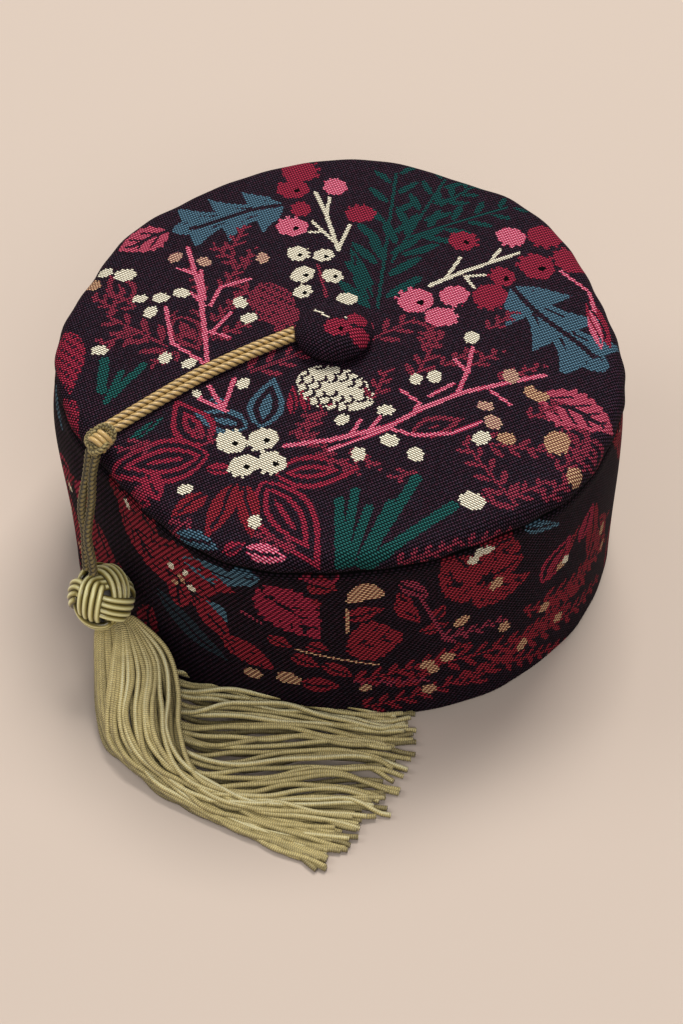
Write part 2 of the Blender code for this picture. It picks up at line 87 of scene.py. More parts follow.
# Dents of the soft cloth: direction and spread in degrees, push outward in metres
Dent = namedtuple("Dent", "direction spread push")
SEAM_DENTS = (
    Dent(16, 18, -0.0034),
    Dent(49, 8, 0.0013),
    Dent(66, 7, -0.0016),
    Dent(86, 10, 0.0007),
    Dent(120, 20, -0.0027),
    Dent(158, 10, -0.0020),
    Dent(183, 14, 0.0016),
    Dent(220, 14, -0.0032),
    Dent(250, 12, 0.0021),
    Dent(275, 12, -0.0013),
    Dent(296, 12, -0.0016),
    Dent(320, 13, 0.0024),
    Dent(342, 13, 0.0015),
)
BELLY_DENTS = (Dent(181, 28, 0.0027), Dent(345, 20, 0.0008))
RIM_DENTS = (Dent(195, 25, 0.0011), Dent(266, 24, -0.0017), Dent(300, 14, 0.0015), Dent(328, 20, 0.0012))
SHOULDER_DENTS = (Dent(58, 4, -0.0011), Dent(48, 4, -0.0009), Dent(128, 5, -0.0008))

# Finer unevenness. At the seam both cloths are pulled in, with puckers round the crown's shoulder
RIPPLE = 0.00016
SOFTNESS = 0.00018
PUCKER = 0.00025
PUCKERS = 38
CROWN_PULL = SHOULDER_BULGE + 0.0009
BAND_PULL = 0.0016
PULL_SHARE = 0.975
SWELL_SHARE = 0.955
SWELL_SPREAD = 0.03
REVERSE_DROP = 0.0002

# Covered button: where it sits, and its profile from the top to the seat in shares of its size
BUTTON_CENTRE = (-0.0011, -0.0040)
BUTTON_RADIUS = 0.0130
BUTTON_HEIGHT = 0.0092
BUTTON_BREADTHS = (0, 0.06, 0.30, 0.58, 0.80, 0.93, 0.985, 1.0, 0.95, 0.80)
BUTTON_HEIGHTS = (1.0, 1.0, 0.98, 0.91, 0.77, 0.58, 0.42, 0.26, 0.10, 0.0)

# Cords. A rope is twisted of plies, and a plait has three strands. Shares are of the cord's diameter. A
# shade span gives the distances from the middle line over which painted shade lifts
ROPE_DIAMETER = 0.0028
ROPE_PLIES = 3
ROPE_PITCH = 0.0072
ROPE_SIDES = 12
PLY_SHARE = 0.295
PLY_SHADE = (0.39, 0.495)
PLAIT_DIAMETER = 0.003
PLAIT_PITCH = 0.0046
PLAIT_SIDES = 10
PLAIT_FACING = (0.6, 0.7, 0.0)
PLAIT_WIDE = 0.30
PLAIT_DEEP = 0.22
PLAIT_STRAND = 0.225
PLAIT_SWELL = 0.30
PLAIT_SHADE = (0.30, 0.56)
GAP = 0.0003
ROPE_ROUTE = (
    (-0.0136, -0.0021),
    (-0.0286, -0.0105),
    (-0.0441, -0.0204),
    (-0.0576, -0.0308),
    (-0.0712, -0.0417),
    (-0.0741, -0.0440),
)
PLAIT_ROUTE = (
    (-0.0772, -0.0524, 0.0834),
    (-0.0786, -0.0547, 0.0780),
    (-0.0797, -0.0577, 0.0715),
    (-0.0804, -0.0611, 0.0635),
    (-0.0807, -0.0648, 0.0550),
    (-0.0804, -0.0682, 0.0445),
)
ROPE_SPACING = 0.4 * MM
PLAIT_SPACING = 0.35 * MM
PLAIT_SWAY = 0.0006
PLAIT_SWAYS = 1.3
PLAIT_LEAN = 0.42
PLAIT_LEANS = 1.6
LEAN_START = 0.6
CURVE_STEPS = 20

# Edge knot: three plaited loops round three gold coils. A loop has its middle and its axis, both as
# forward, outward and across, then its radius and how much it is squashed
Loop = namedtuple("Loop", "middle axis radius squash")
KNOT_DIRECTION = -146.5
KNOT_BEND = 70
KNOT_LIFT = 0.0048
KNOT_LOOPS = (
    Loop((0.0008, 0.0007, -0.0013), (0, 1, 0), 0.0032, 1.0),
    Loop((-0.0014, 0.0010, 0.0), (0, 1, 1), 0.0032, 0.9),
    Loop((0.0020, 0.0, 0.0014), (0, 1, -0.4), 0.0027, 1.1),
)
LOOP_STEPS = 48
LOOP_OVERLAP = 4
LOOP_DIAMETER = 0.0024
LOOP_PITCH = 0.0036
LOOP_SIDES = 6
COIL_COUNT = 3
COIL_STEP = (0.0016, 0.0, 0.0004)
COIL_START = 0.0004
COIL_AXIS = (1, 0, 0.25)
COIL_RADIUS = 0.0027
COIL_STRAND = 0.0009
COIL_SIDES = 8

# The two ropes' ends, which the edge knot carries on from just inside each rope to its own middle
STUB_SHARE = 0.98
STUB_OVERLAP = 0.0004
STUB_STRAIGHT = 0.0010
STUB_RISE = 0.0005
STUB_APART = 0.0008
STUB_SPACING = 0.3 * MM

# Ball knot
BALL_RADIUS = 0.0113
BALL_CORE = 0.0099
BALL_DIRECTION = -139
BALL_HEIGHT = 0.034
BALL_SETTLE = 0.0009
BALL_AXIS = Vector((-0.22, 0.12, 0.97)).normalized()
BALL_LEADS = 3
BALL_BIGHTS = 4
BALL_REACH = 55
BALL_STRANDS = 4
BALL_STRAND = 0.0022
BALL_SPACING = 1.04 * BALL_STRAND
BALL_LIFT = 0.0010
BALL_SPIN = 52
BALL_TURNED = ((0.8322, -0.1130, 0.5428), (0.2047, 0.9725, -0.1115), (-0.5152, 0.2039, 0.8324))
BALL_STEPS = 110
BALL_SIDES = 16
INNER_BALL = 0.0086
# the core's tone, dark as painted shade in the gaps of the knot
INNER_BALL_PAINTED_SHADE = 0.18

# Tassel: lines that its strands follow from the neck to their cut ends. The front lines run from the
# outer edge of its fold to the inner one. The back ones run from the wall of the cap outward, and
# they come out from under the fold
FRONT_GUIDES = (
    ((-0.0847, -0.0758, 0.0200), (-0.0811, -0.0884, 0.0120), (-0.0794, -0.0961, 0.0070),
     (-0.0750, -0.1062, 0.0040), (-0.0658, -0.1149, 0.0025), (-0.0459, -0.1302, 0.0015),
     (-0.0269, -0.1407, 0.0012), (-0.0086, -0.1532, 0.0010)),
    ((-0.0796, -0.0802, 0.0250), (-0.0776, -0.0922, 0.0150), (-0.0742, -0.1040, 0.0110),
     (-0.0684, -0.1131, 0.0080), (-0.0588, -0.1221, 0.0050), (-0.0396, -0.1345, 0.0030),
     (-0.0221, -0.1436, 0.0020), (-0.0058, -0.1491, 0.0010)),
    ((-0.0738, -0.0820, 0.0270), (-0.0713, -0.0943, 0.0190), (-0.0688, -0.1039, 0.0150),
     (-0.0636, -0.1139, 0.0110), (-0.0555, -0.1221, 0.0070), (-0.0393, -0.1318, 0.0045),
     (-0.0209, -0.1386, 0.0025), (-0.0008, -0.1432, 0.0012)),
    ((-0.0687, -0.0786, 0.0280), (-0.0631, -0.0889, 0.0210), (-0.0613, -0.1023, 0.0170),
     (-0.0581, -0.1131, 0.0130), (-0.0515, -0.1216, 0.0090), (-0.0362, -0.1294, 0.0060),
     (-0.0159, -0.1339, 0.0040), (0.0055, -0.1360, 0.0018)),
    ((-0.0645, -0.0735, 0.0280), (-0.0561, -0.0804, 0.0200), (-0.0522, -0.0933, 0.0150),
     (-0.0524, -0.1058, 0.0130), (-0.0495, -0.1160, 0.0100), (-0.0413, -0.1254, 0.0075),
     (-0.0217, -0.1292, 0.0050), (0.0113, -0.1270, 0.0018)),
)
BACK_GUIDES = (
    ((-0.0672, -0.0716, 0.0240), (-0.0602, -0.0691, 0.0080), (-0.0523, -0.0711, 0.0040),
     (-0.0414, -0.0764, 0.0040), (-0.0278, -0.0835, 0.0040), (-0.0116, -0.0884, 0.0035),
     (0.0033, -0.0898, 0.0025), (0.0184, -0.0896, 0.0015)),
    ((-0.0688, -0.0729, 0.0240), (-0.0605, -0.0771, 0.0070), (-0.0509, -0.0832, 0.0060),
     (-0.0376, -0.0863, 0.0065), (-0.0197, -0.0908, 0.0055), (-0.0000, -0.0936, 0.0040),
     (0.0131, -0.0946, 0.0025), (0.0223, -0.0936, 0.0012)),
    ((-0.0705, -0.0733, 0.0220), (-0.0609, -0.0883, 0.0060), (-0.0502, -0.0976, 0.0070),
     (-0.0358, -0.0990, 0.0075), (-0.0163, -0.0996, 0.0060), (-0.0001, -0.1015, 0.0045),
     (0.0130, -0.1021, 0.0025), (0.0211, -0.1011, 0.0012)),
    ((-0.0715, -0.0742, 0.0220), (-0.0603, -0.0992, 0.0060), (-0.0490, -0.1100, 0.0070),
     (-0.0338, -0.1122, 0.0075), (-0.0162, -0.1087, 0.0060), (-0.0001, -0.1085, 0.0045),
     (0.0129, -0.1087, 0.0025), (0.0196, -0.1098, 0.0012)),
    ((-0.0730, -0.0737, 0.0200), (-0.0581, -0.1100, 0.0060), (-0.0462, -0.1221, 0.0070),
     (-0.0300, -0.1239, 0.0070), (-0.0141, -0.1201, 0.0060), (-0.0001, -0.1182, 0.0045),
     (0.0101, -0.1184, 0.0025), (0.0168, -0.1203, 0.0012)),
    ((-0.0730, -0.0737, 0.0200), (-0.0562, -0.1161, 0.0050), (-0.0426, -0.1290, 0.0050),
     (-0.0266, -0.1326, 0.0050), (-0.0128, -0.1304, 0.0040), (-0.0014, -0.1294, 0.0035),
     (0.0062, -0.1303, 0.0025), (0.0125, -0.1317, 0.0012)),
)
STRAND_DIAMETER = 0.0018
STRAND_SIDES = 8
STRAND_POINTS = 90

# The direction across its path in which a tube's rings start, where nothing else sets it
TUBE_START = (0.3, 0.5, 0.8)

# A set of strands: its lines, the strands in each layer, and how far the lowest layer drops and the
# top one twists. The twist fades over the first points
Lock = namedtuple("Lock", "guides layers drop twist")
LOCKS = (Lock(FRONT_GUIDES, (15, 15, 13, 9), 0.85, 0.55), Lock(BACK_GUIDES, (26, 17), 0.8, 0.0))
LOWER_TWIST = 0.25
TWIST_FADE = (1.0, 0.62, 0.25)

# Loose strands on top: the share across the back lines where each lies, and how far it strays
LOOSE_STRANDS = ((0.30, 0.004), (0.62, -0.005), (0.45, 0.006), (0.15, 0.005))
LOOSE_RISE = 0.0022

# What is random in a strand: its share across, its cut end, its points, its waves and its tone. Deeper
# layers are darkened as painted shade. A wave has its fewest and most turns and its size
Wave = namedtuple("Wave", "fewest most size")
SHARE_JITTER = 0.45
CUT_JITTER = 0.0045
POINT_JITTER = 0.0007
STRAND_WAVES = (Wave(1.5, 3, 0.0010), Wave(4, 7, 0.00035))
STRAND_TONES = (0.80, 1.0)
DEEP_SHADE = 0.5

# Where the strands gather: shares of the way out from the neck, inside it and at its collar
NECK_SHARE = 0.45
NECK_RISE = 0.003
COLLAR_SHARE = 0.86
COLLAR_DROP = 0.6
COLLAR_TUCK = 0.35

# The tassel's middle beside the ball knot's. Strands face away from it, and upward once they lie low, and
# their sides towards it get painted shade
SKIRT_OFFSET = (0.010, 0.012)
SKIRT_TOP = 0.030
SKIRT_FALL = 0.016
CORE_DEPTH = 0.01

# The cloth's weave: the size of one cell, and how many degrees its threads turn from +X, or from the
# rim. A thread shows over two cells of its row and dips under the third
Weave = namedtuple("Weave", "width height turn")
CROWN_WEAVE = Weave(0.46 * MM, 0.79 * MM, -33)
BAND_WEAVE = Weave(0.60 * MM, 0.82 * MM, 0)
BUTTON_WEAVE = Weave(0.48 * MM, 0.80 * MM, -36)

# Rows and columns of points on the surfaces that face the inside
CROWN_REVERSE_GRID = (30, 129)
BAND_REVERSE_GRID = (12, 193)
INNER_BALL_GRID = (17, 33)
BAND_REVERSE_THREADS = 80

# Shade at the seams: how dark it is and how far it reaches, for a sharp part and a soft one
Shade = namedtuple("Shade", "dark reach")
CROWN_SHADE = (Shade(0.75, 0.0016), Shade(0.2, 0.006))
BAND_SHADE = (Shade(0.75, 0.0014), Shade(0.25, 0.006))
BUTTON_SHADE_FROM = 0.75
BUTTON_SHADE = 0.5

# Dyes: the two shades in which the cells of each alternate
Dye = namedtuple("Dye", "light dark")
DYES = {
    "ground": Dye((0.043, 0.023, 0.035), (0.0012, 0.0008, 0.0011)),
    # the crown's ground made darker for the band's upright sides: painted shade
    "ground_in_painted_shade": Dye((0.028, 0.015, 0.023), (0.001, 0.0008, 0.001)),
    "crimson": Dye((0.44, 0.034, 0.075), (0.09, 0.006, 0.017)),
    "wine": Dye((0.36, 0.028, 0.048), (0.04, 0.004, 0.007)),
    "rust": Dye((0.36, 0.045, 0.085), (0.018, 0.005, 0.009)),
    "rose": Dye((0.66, 0.12, 0.19), (0.34, 0.020, 0.055)),
    "pink": Dye((0.90, 0.24, 0.35), (0.56, 0.024, 0.085)),
    "blue": Dye((0.105, 0.21, 0.29), (0.016, 0.036, 0.058)),
    "slate": Dye((0.030, 0.045, 0.062), (0.006, 0.008, 0.012)),
    "fern": Dye((0.016, 0.095, 0.092), (0.002, 0.012, 0.013)),
    "teal": Dye((0.020, 0.125, 0.115), (0.002, 0.016, 0.016)),
    "cream": Dye((1.0, 0.93, 0.74), (0.76, 0.68, 0.48)),
    "tan": Dye((0.70, 0.43, 0.25), (0.24, 0.070, 0.050)),
    "rose_tan": Dye((0.72, 0.46, 0.32), (0.34, 0.12, 0.12)),
}
PLUM_TINT = np.array((1.25, 0.80, 1.0))
INK_TINT = np.array((0.75, 1.05, 1.15))
GROUND_LEVELS = (0.65, 1.35)

# Details of the motifs, in millimetres
BROAD_LEAF = 10
HOLLY_LOBES = 3.4
LEAFLET_LEAN = math.radians(48)
SCALE_LENGTH = 3.1
SCALE_WIDTH = 3.9
PETALS = 6
TUFTED_DISC = 7.2

# The band's sprays are drawn for its front, and the sides and back repeat those this far round
SPRAY_SHIFT = 197
FRONT_LIMIT = 96

# Finishes: a cord's sheen, the sharpness of its painted highlight and its patches, the ribs of the tassel's
# strands with the painted shade between them, the threads of the cloth with their painted shade, and its
# flecks. A relief has its strength and its height
CORD_SHEEN = 0.1
PAINTED_HIGHLIGHT_SHARPNESS = 16.0
PATCH_SCALE = 420.0
PATCH_DETAIL = 3.0
PATCH_SPAN = 0.6
PATCH_LOWEST = 0.7
RIB_PITCH = 0.72
RIB_PAINTED_SHADE = 0.46
RIB_SLANT = 0.10
RIB_RELIEF = (0.9, 0.00026)
THREAD_SHARPNESS = 3.4
THREAD_LIGHT = 1.55
THREAD_RELIEF = (0.5, 0.00025)
FLECK_SCALE = 900.0
FLECK_LIGHT = 0.22
REVERSE_FLECK_SCALE = 1400.0
REVERSE_RELIEF = (0.4, 0.0003)

# The sprays woven into the cloth, in millimetres. On the crown x and y run from its middle, and on
# the band x runs along it from the front and y up from the rim. A sprig has its foot, the way it
# grows in degrees, its length and breadth. A stem has its two ends and its thickness. A disc has its
# middle and its breadth, and may have a dark eye
Sprig = namedtuple("Sprig", "x y turn length breadth kind dye")
Stem = namedtuple("Stem", "x y to_x to_y thick dye")
Disc = namedtuple("Disc", "x y across dye eye")


def runs(kind, *given):
    """Items of one kind. A run gives what its items share, and then a row for each of them."""
    items = []
    for run in given:
        shared = [value for value in run if not isinstance(value, tuple)]
        items += [kind(*row, *shared) for row in run[len(shared) :]]
    return items


CROWN_SPRIGS = runs(
    Sprig,
    ("holly", "blue", (-20, 69, -161, 41, 24), (58, 24, -55, 49, 27)),
    ("leaf", "rose", (-60, 56, -151, 20, 15), (63, -28, -31, 29, 19)),
    ("speckled", "rust", (-27, 26, -70, 28, 15)),
    ("outlined", "rust", (-55, 10, -65, 19, 12), (22, -46, 21, 18, 9), (71, -42, -68, 13, 12),
     (-71, 20, 122, 16, 10), (76, -48, -62, 14, 13)),
    ("frond", "rust", (-57, -5, 142, 28, 16), (-64, 4, -160, 17, 12), (-40, 24, 64, 20, 8),
     (-42, 7, 61, 17, 7), (-43, -2, 32, 15, 8), (-46, 20, 112, 16, 6), (-75, 14, 136, 13, 7),
     (-30, -18, 28, 21, 14), (9, -4, 35, 19, 14), (42, -16, 39, 12, 8), (-14, 2, 130, 20, 14),
     (32, -7, 110, 13, 10), (-47, -80, -150, 22, 9)),
    ("leaf", "teal", (-68, -47, 42, 15, 3.4)),
    ("outlined", "blue", (-26, -43, 80, 23, 12), (-30, -43, 157, 19, 11)),
    ("leaf", "crimson", (-16, -38, 89, 14, 3.4), (-11, -37, 101, 12, 3), (-37, -93, 20, 8, 4.5),
     (-69, -67, -32, 11, 6), (83, 19, -76, 25, 6)),
    ("cone", "cream", (-14, -20, -28, 27, 19)),
    ("frond", "fern", (12, 12, 84, 76, 30), (17, 36, 67, 52, 26), (23, 50, 26, 40, 22),
     (35, 68, 44, 24, 14)),
    ("leaf", "fern", (9, 21, 104, 24, 5), (10, 16, 108, 21, 5)),
    ("outlined", "crimson", (-43, -50, 118, 23, 14), (-42, -54, -172, 34, 19), (-21, -63, 4, 27, 14),
     (-25, -66, -62, 38, 19)),
    ("leaf", "wine", (-33, -66, -112, 24, 8), (-42, -70, -142, 14, 7), (-30, -67, -84, 22, 7)),
    ("leaf", "pink", (-30, -92, -18, 14, 6.5), (83, 14, -82, 21, 4)),
    ("leaf", "blue", (-52, -84, -28, 16, 6), (-37, -31, -175, 7, 5)),
    ("frond", "rust", (-14, -92, 160, 14, 7), (54, -76, 121, 31, 13), (44, -50, -8, 24, 11),
     (17, -98, 24, 22, 7), (39, -90, 21, 18, 7), (-38, 44, 71, 14, 8), (-13, -49, 63, 15, 8),
     (-4, -54, 140, 12, 7), (-61, -47, -156, 11, 10), (68, -61, 50, 16, 8), (-69, 16, 138, 15, 9),
     (-54, -7, -143, 10, 8), (24, -21, 68, 17, 11), (10, -31, 70, 14, 9), (33, -16, 38, 13, 8),
     (51, -22, 28, 15, 7), (23, -62, -156, 8, 8), (-36, 37, 131, 12, 8), (-28, 16, 126, 13, 9),
     (-8, -36, -126, 12, 7), (-6, -56, -29, 11, 8), (2, -54, -34, 11, 7), (60, -39, 37, 13, 8),
     (52, -73, 34, 14, 9), (63, -73, 49, 17, 8), (-40, -48, 147, 10, 7), (-60, -66, -154, 7, 7),
     (49, 2, 47, 13, 8), (33, 1, -146, 9, 7)),
    ("leaf", "rust", (-36, 33, 100, 10, 2.4), (-33, 32, 77, 11, 2.4), (-57, 9, 63, 5, 2.2),
     (-51, 14, -50, 6, 2.2), (-54, 4, -82, 7, 2.4), (-50, 5, -79, 9, 2.4), (43, -69, -57, 9, 3)),
    ("speckled", "crimson", (-92, 6, -83, 31, 12), (-91, -25, -80, 21, 10)),
    ("leaf", "crimson", (-61, -60, -71, 13, 7), (-43, -60, -2, 10, 5)),
)
CROWN_STEMS = runs(
    Stem,
    ("cream", (-1, 43, -5, 62, 1.5), (-5, 62, -9, 76, 1.4), (-5, 63, -4, 73, 1.2), (-2, 47, -10, 59, 1.3),
     (-7, 53, -11, 53, 1.2), (-1, 43, 3, 57, 1.3), (30, 24, 41, 31, 1.7), (41, 31, 61, 42, 1.5),
     (41, 39, 35, 27, 1.3), (55, 44, 51, 37, 1.2), (49, 30, 42, 29, 1.2), (45, 23, 42, 29, 1.2)),
    ("rust", (-8, 35, -5, 18, 1.2)),
    ("teal", (-1, -98, -1, -74, 3), (0, -98, 4, -70, 2.9), (2, -98, 8, -77, 2.9), (5, -98, 15, -75, 3),
     (6, -98, 23, -65, 3.5), (8, -98, 34, -76, 3.8), (-78, -24, -78, -10, 3.4), (-74, -26, -65, -13, 2.8),
     (-76, -29, -72, -16, 2.4)),
    ("pink", (-53, 46, -48, 24, 1.6), (-48, 24, -45, -2, 1.8), (-45, -2, -44, -13, 1.6),
     (-48, 33, -46, 18, 1.4), (-59, 15, -56, -3, 1.5), (-56, -3, -45, -13, 1.5), (-31, 28, -41, 24, 1.5),
     (-41, 24, -44, 15, 1.4), (-37, 11, -43, 2, 1.4), (-37, -1, -44, 2, 1.3), (-51, 22, -46, 15, 1.3),
     (-56, 35, -49, 31, 1.3), (-43, -24, -38, -34, 1.6), (-35, -21, -38, -34, 1.6),
     (-46, -29, -37, -35, 1.6), (-18, -51, -4, -49, 1.8), (-4, -49, 15, -43, 2.1), (15, -43, 26, -35, 1.9),
     (26, -35, 39, -28, 1.9), (39, -28, 51, -24, 1.8), (51, -24, 66, -19, 1.8), (-4, -53, 15, -44, 1.4),
     (15, -44, 23, -47, 1.6), (23, -47, 35, -46, 1.6), (35, -46, 44, -41, 1.5), (43, -7, 41, -18, 1.4),
     (37, -13, 41, -19, 1.4), (41, -18, 37, -29, 1.5), (54, -33, 48, -27, 1.4), (36, -24, 28, -30, 1.4),
     (19, -27, 25, -33, 1.4), (25, -33, 22, -38, 1.3), (12, -39, 8, -46, 1.3), (6, -40, 3, -46, 1.3),
     (75, 33, 84, 23, 1.4), (84, 23, 85, 13, 1.4)),
)
CROWN_DISCS = runs(
    Disc,
    ("crimson", False, (-15, 89, 13)),
    ("crimson", True, (-17, 78, 11), (42, 48, 10), (67, 35, 12.5), (55, 29, 9)),
    ("pink", False, (-2, 79, 9), (59, 51, 10)),
    ("crimson", False, (-14, 66, 7.5), (7, 63, 10), (71, 52, 12), (79, 39, 12.5), (50, 19, 12)),
    ("pink", True, (-17, 56, 10.5), (25, 16, 12)),
    ("cream", True, (-15, 41, 7.5), (-6, 40, 7), (-13, 30, 8), (-3, 29, 7), (-13, 21, 6.5), (-35, -49, 9.5),
     (-25, -48, 9.5), (-31, -59, 9), (-22, -58, 9)),
    ("cream", False, (2, 17, 6.5), (-74, 33, 7), (-68, 20, 4.6), (-61, 20, 5.2), (-54, 22, 5.2),
     (-64, 13, 5.2), (-34, 16, 5.2), (-31, 8, 5.4), (-58, -10, 4.8), (-50, -13, 4.6), (-32, -23, 4.8),
     (-47, -27, 3.2), (-80, -5, 5), (43, -2, 5.5), (24, -22, 4.8), (30, -21, 5.2)),
    ("rose_tan", False, (-57, 41, 5), (-47, 38, 5), (-27, 39, 5), (55, -20, 6), (46, -34, 4.8),
     (48, -41, 6)),
    ("tan", False, (-85, 29, 6), (61, -27, 5), (64, -29, 5)),
    ("pink", False, (38, 19, 10), (33, 8, 10)),
    ("cream", False, (44, -48, 5.8), (14, -36, 5), (0, -40, 4.5), (15, -49, 5.6), (5, -55, 5.2),
     (23, -55, 5.4), (40, -74, 7.5), (-49, -68, 4.6), (-27, -82, 4.6), (-81, 35, 5)),
    ("tan", False, (52, -48, 5.6), (68, -49, 9), (73, -63, 6.5)),
)
BAND_SPRIGS = runs(
    Sprig,
    ("frond", "wine", (6, 6, 12, 62, 10), (40, 9, 24, 60, 11), (72, 16, 30, 42, 11), (61, 34, -21, 36, 7)),
    ("flower", "wine", (-73, 77, 8, 14, 12), (-53, 56, 5, 16, 12), (47, 58, 6, 12, 10)),
    ("leaf", "blue", (-34, 69, 15, 10, 9), (-44, 51, -40, 10, 9), (58, 75, -28, 18, 5),
     (-52, 66, 6, 27, 10)),
    ("leaf", "crimson", (-25, 65, -43, 23, 16)),
    ("cap", "tan", (1, 60, 8, 12, 8)),
    ("leaf", "wine", (0, 53, 13, 13, 7), (0, 37, 9, 19, 17), (69, 41, 44, 23, 6.5), (95, 59, -91, 28, 7),
     (-38, 38, -39, 20, 8), (-17, 34, -34, 11, 6), (-7, 30, -39, 13, 6), (-24, 42, -29, 9, 6),
     (-12, 40, -25, 8, 6), (-11, 71, -24, 10, 9), (-8, 57, 128, 8, 7), (-104, 43, -55, 22, 8),
     (16, 59, -57, 15, 6), (1, 40, 7, 18, 20), (31, 77, -23, 30, 24), (41, 50, 114, 27, 12),
     (41, 49, 8, 22, 12), (-90, 78, -27, 28, 15), (-65, 66, -8, 33, 17), (-84, 70, -38, 35, 15),
     (-98, 48, -67, 31, 12), (-47, 50, -56, 19, 10), (-69, 31, -106, 30, 11), (-40, 37, -37, 22, 11),
     (-14, 19, -9, 13, 8), (21, 53, 115, 11, 5), (28, 46, 58, 8, 5), (24, 42, 6, 10, 5),
     (-124, 80, 80, 26, 9), (-116, 22, 116, 22, 10), (-126, 32, -30, 22, 8)),
    ("frond", "rust", (31, 36, -2, 22, 8), (3, 20, -7, 24, 6)),
    ("leaf", "rust", (17, 68, -46, 14, 6)),
    ("outlined", "crimson", (-1, 74, -173, 12, 8), (68, 43, 48, 19, 12)),
    ("leaf", "slate", (-66, 42, -34, 34, 10)),
    ("leaf", "crimson", (-25, 68, -55, 31, 20), (87, 47, 65, 15, 9)),
    ("frond", "wine", (4, 20, 15, 39, 10), (31, 24, -5, 51, 12), (62, 18, -11, 49, 12),
     (70, 32, -11, 43, 11), (18, 15, 40, 17, 9), (54, 13, -24, 33, 9)),
)
BAND_STEMS = runs(
    Stem,
    ("tan", (1, 57, 1, 46, 1.2), (-15, 37, -2, 32, 0.9), (-2, 32, 11, 28, 0.9)),
    ("rust", (-32, 53, -25, 48, 1.2), (24, 59, 33, 35, 1.2)),
)
BAND_DISCS = runs(
    Disc,
    ("tan", False, (-76, 77, 3)),
    ("cream", False, (-78, 71, 3), (-72, 77, 3), (-57, 59, 3)),
    ("tan", False, (-69, 77, 3), (-53, 56, 3.4), (-56, 52, 2.6), (50, 54, 5), (77, 45, 4), (38, 42, 5),
     (27, 25, 4.6), (34, 26, 4.6), (29, 22, 4.4), (28, 12, 5), (54, 31, 4.4), (71, 29, 4.6), (62, 17, 4.6),
     (79, 17, 4.2), (105, 37, 5), (-30, 20, 6), (-19, 21, 6), (-17, 20, 6), (7, 16, 4), (109, 25, 4)),
    ("cream", False, (-49, 54, 3), (-51, 60, 2.6), (43, 71, 4), (46, 71, 4), (41, 69, 4), (79, 46, 3.4)),
)
BUTTON_DISCS = runs(
    Disc,
    ("crimson", True, (1.4, -3.8, 8.2)),
    ("crimson", False, (8.0, 0.4, 6.5), (9.2, -7.0, 7.5)),
)
BUTTON_STEMS = runs(Stem, ("cream", (-6.4, 5.6, -1.8, 0.6, 0.9), (3.6, 0.4, 5.0, 1.4, 0.8)))


def dent_sum(dents, direction):
    """How far the cloth is pushed outward at directions in degrees."""
    total = np.zeros_like(direction, dtype=float)
    for dent in dents:
        spreads = ((direction - dent.direction + 180) % 360 - 180) / dent.spread
        total += dent.push * np.exp(-(spreads**2))
    return total


def seam_radius(direction):
    turn = np.radians(direction)
    oval = 1 / np.hypot(np.cos(turn) / CROWN_HALF_WIDTH, np.sin(turn) / CROWN_HALF_DEPTH)
    return oval + dent_sum(SEAM_DENTS, direction)


def seam_height(y):
    return SEAM_HEIGHT + SEAM_SLOPE * y


def wall_radius(direction, share):
    """The band's radius at shares of its height, before its fine unevenness."""
    rim = RIM_RADIUS + dent_sum(RIM_DENTS, direction)
    belly = BAND_BELLY + dent_sum(BELLY_DENTS, direction)
    return rim * (1 - share) + seam_radius(direction) * share + belly * np.sin(math.pi * share**BELLY_SKEW)


def polar(direction, radius):
    """Points at a radius from the cap's middle, as x and y."""
    turn = np.radians(direction)
    return CAP_MIDDLE[0] + radius * np.cos(turn), CAP_MIDDLE[1] + radius * np.sin(turn)


def ripple(direction, height):
    """Fine unevenness of the band, in metres."""
    turn = np.radians(direction)
    waves = np.sin(9 * turn + 1.3) * np.cos(4 * height + 0.4) + 0.7 * np.sin(17 * turn - 3 * height)
    return RIPPLE * (waves + 0.6 * np.sin(31 * turn + 5 * height + 2.0))


def crown_points(x, y, inward=0.0):
    """Places of points of the crown's cloth, given in metres along the cloth from the middle."""
    direction = np.degrees(np.arctan2(y, x))
    reach = np.hypot(x, y)
    edge = seam_radius(direction) - CROWN_INSET
    over = np.clip((reach - edge) / SHOULDER_ARC, 0, 1)
    tuck = np.clip((reach - edge - SHOULDER_ARC) / SEAM_TUCK, 0, 1)
    turn = (1 - over) * math.pi / 2
    radius = SHOULDER_RADIUS - inward
    puckered = dent_sum(SHOULDER_DENTS, direction) * np.sin(2 * turn)
    puckered = puckered + PUCKER * np.sin(np.radians(direction) * PUCKERS) * over
    outward = np.where(reach <= edge, reach, edge + radius * np.cos(turn) + puckered)
    px, py = polar(direction, outward - tuck**2 * CROWN_PULL)
    share = np.minimum(reach / edge, 1)
    dome = SHOULDER_BASE + CROWN_RISE * (1 - share**2) + radius * np.sin(turn) - SHOULDER_BASE * tuck
    soft = SOFTNESS * np.sin(58 * x + 20 * y) * np.cos(47 * y + 1) * (1 - over)
    return np.stack([px, py, seam_height(py) + dome + soft], axis=1)


def crown_reach(direction):
    """How far the crown's cloth runs from the middle to the seam."""
    return seam_radius(direction) - CROWN_INSET + SHOULDER_ARC + SEAM_TUCK


def dome_height(x, y):
    """Height of the crown's outer face inside its shoulder, at places in metres."""
    dx, dy = x - CAP_MIDDLE[0], y - CAP_MIDDLE[1]
    share = np.hypot(dx, dy) / (seam_radius(np.degrees(np.arctan2(dy, dx))) - CROWN_INSET)
    return seam_height(y) + SHOULDER_BASE + SHOULDER_RADIUS + CROWN_RISE * (1 - share**2)


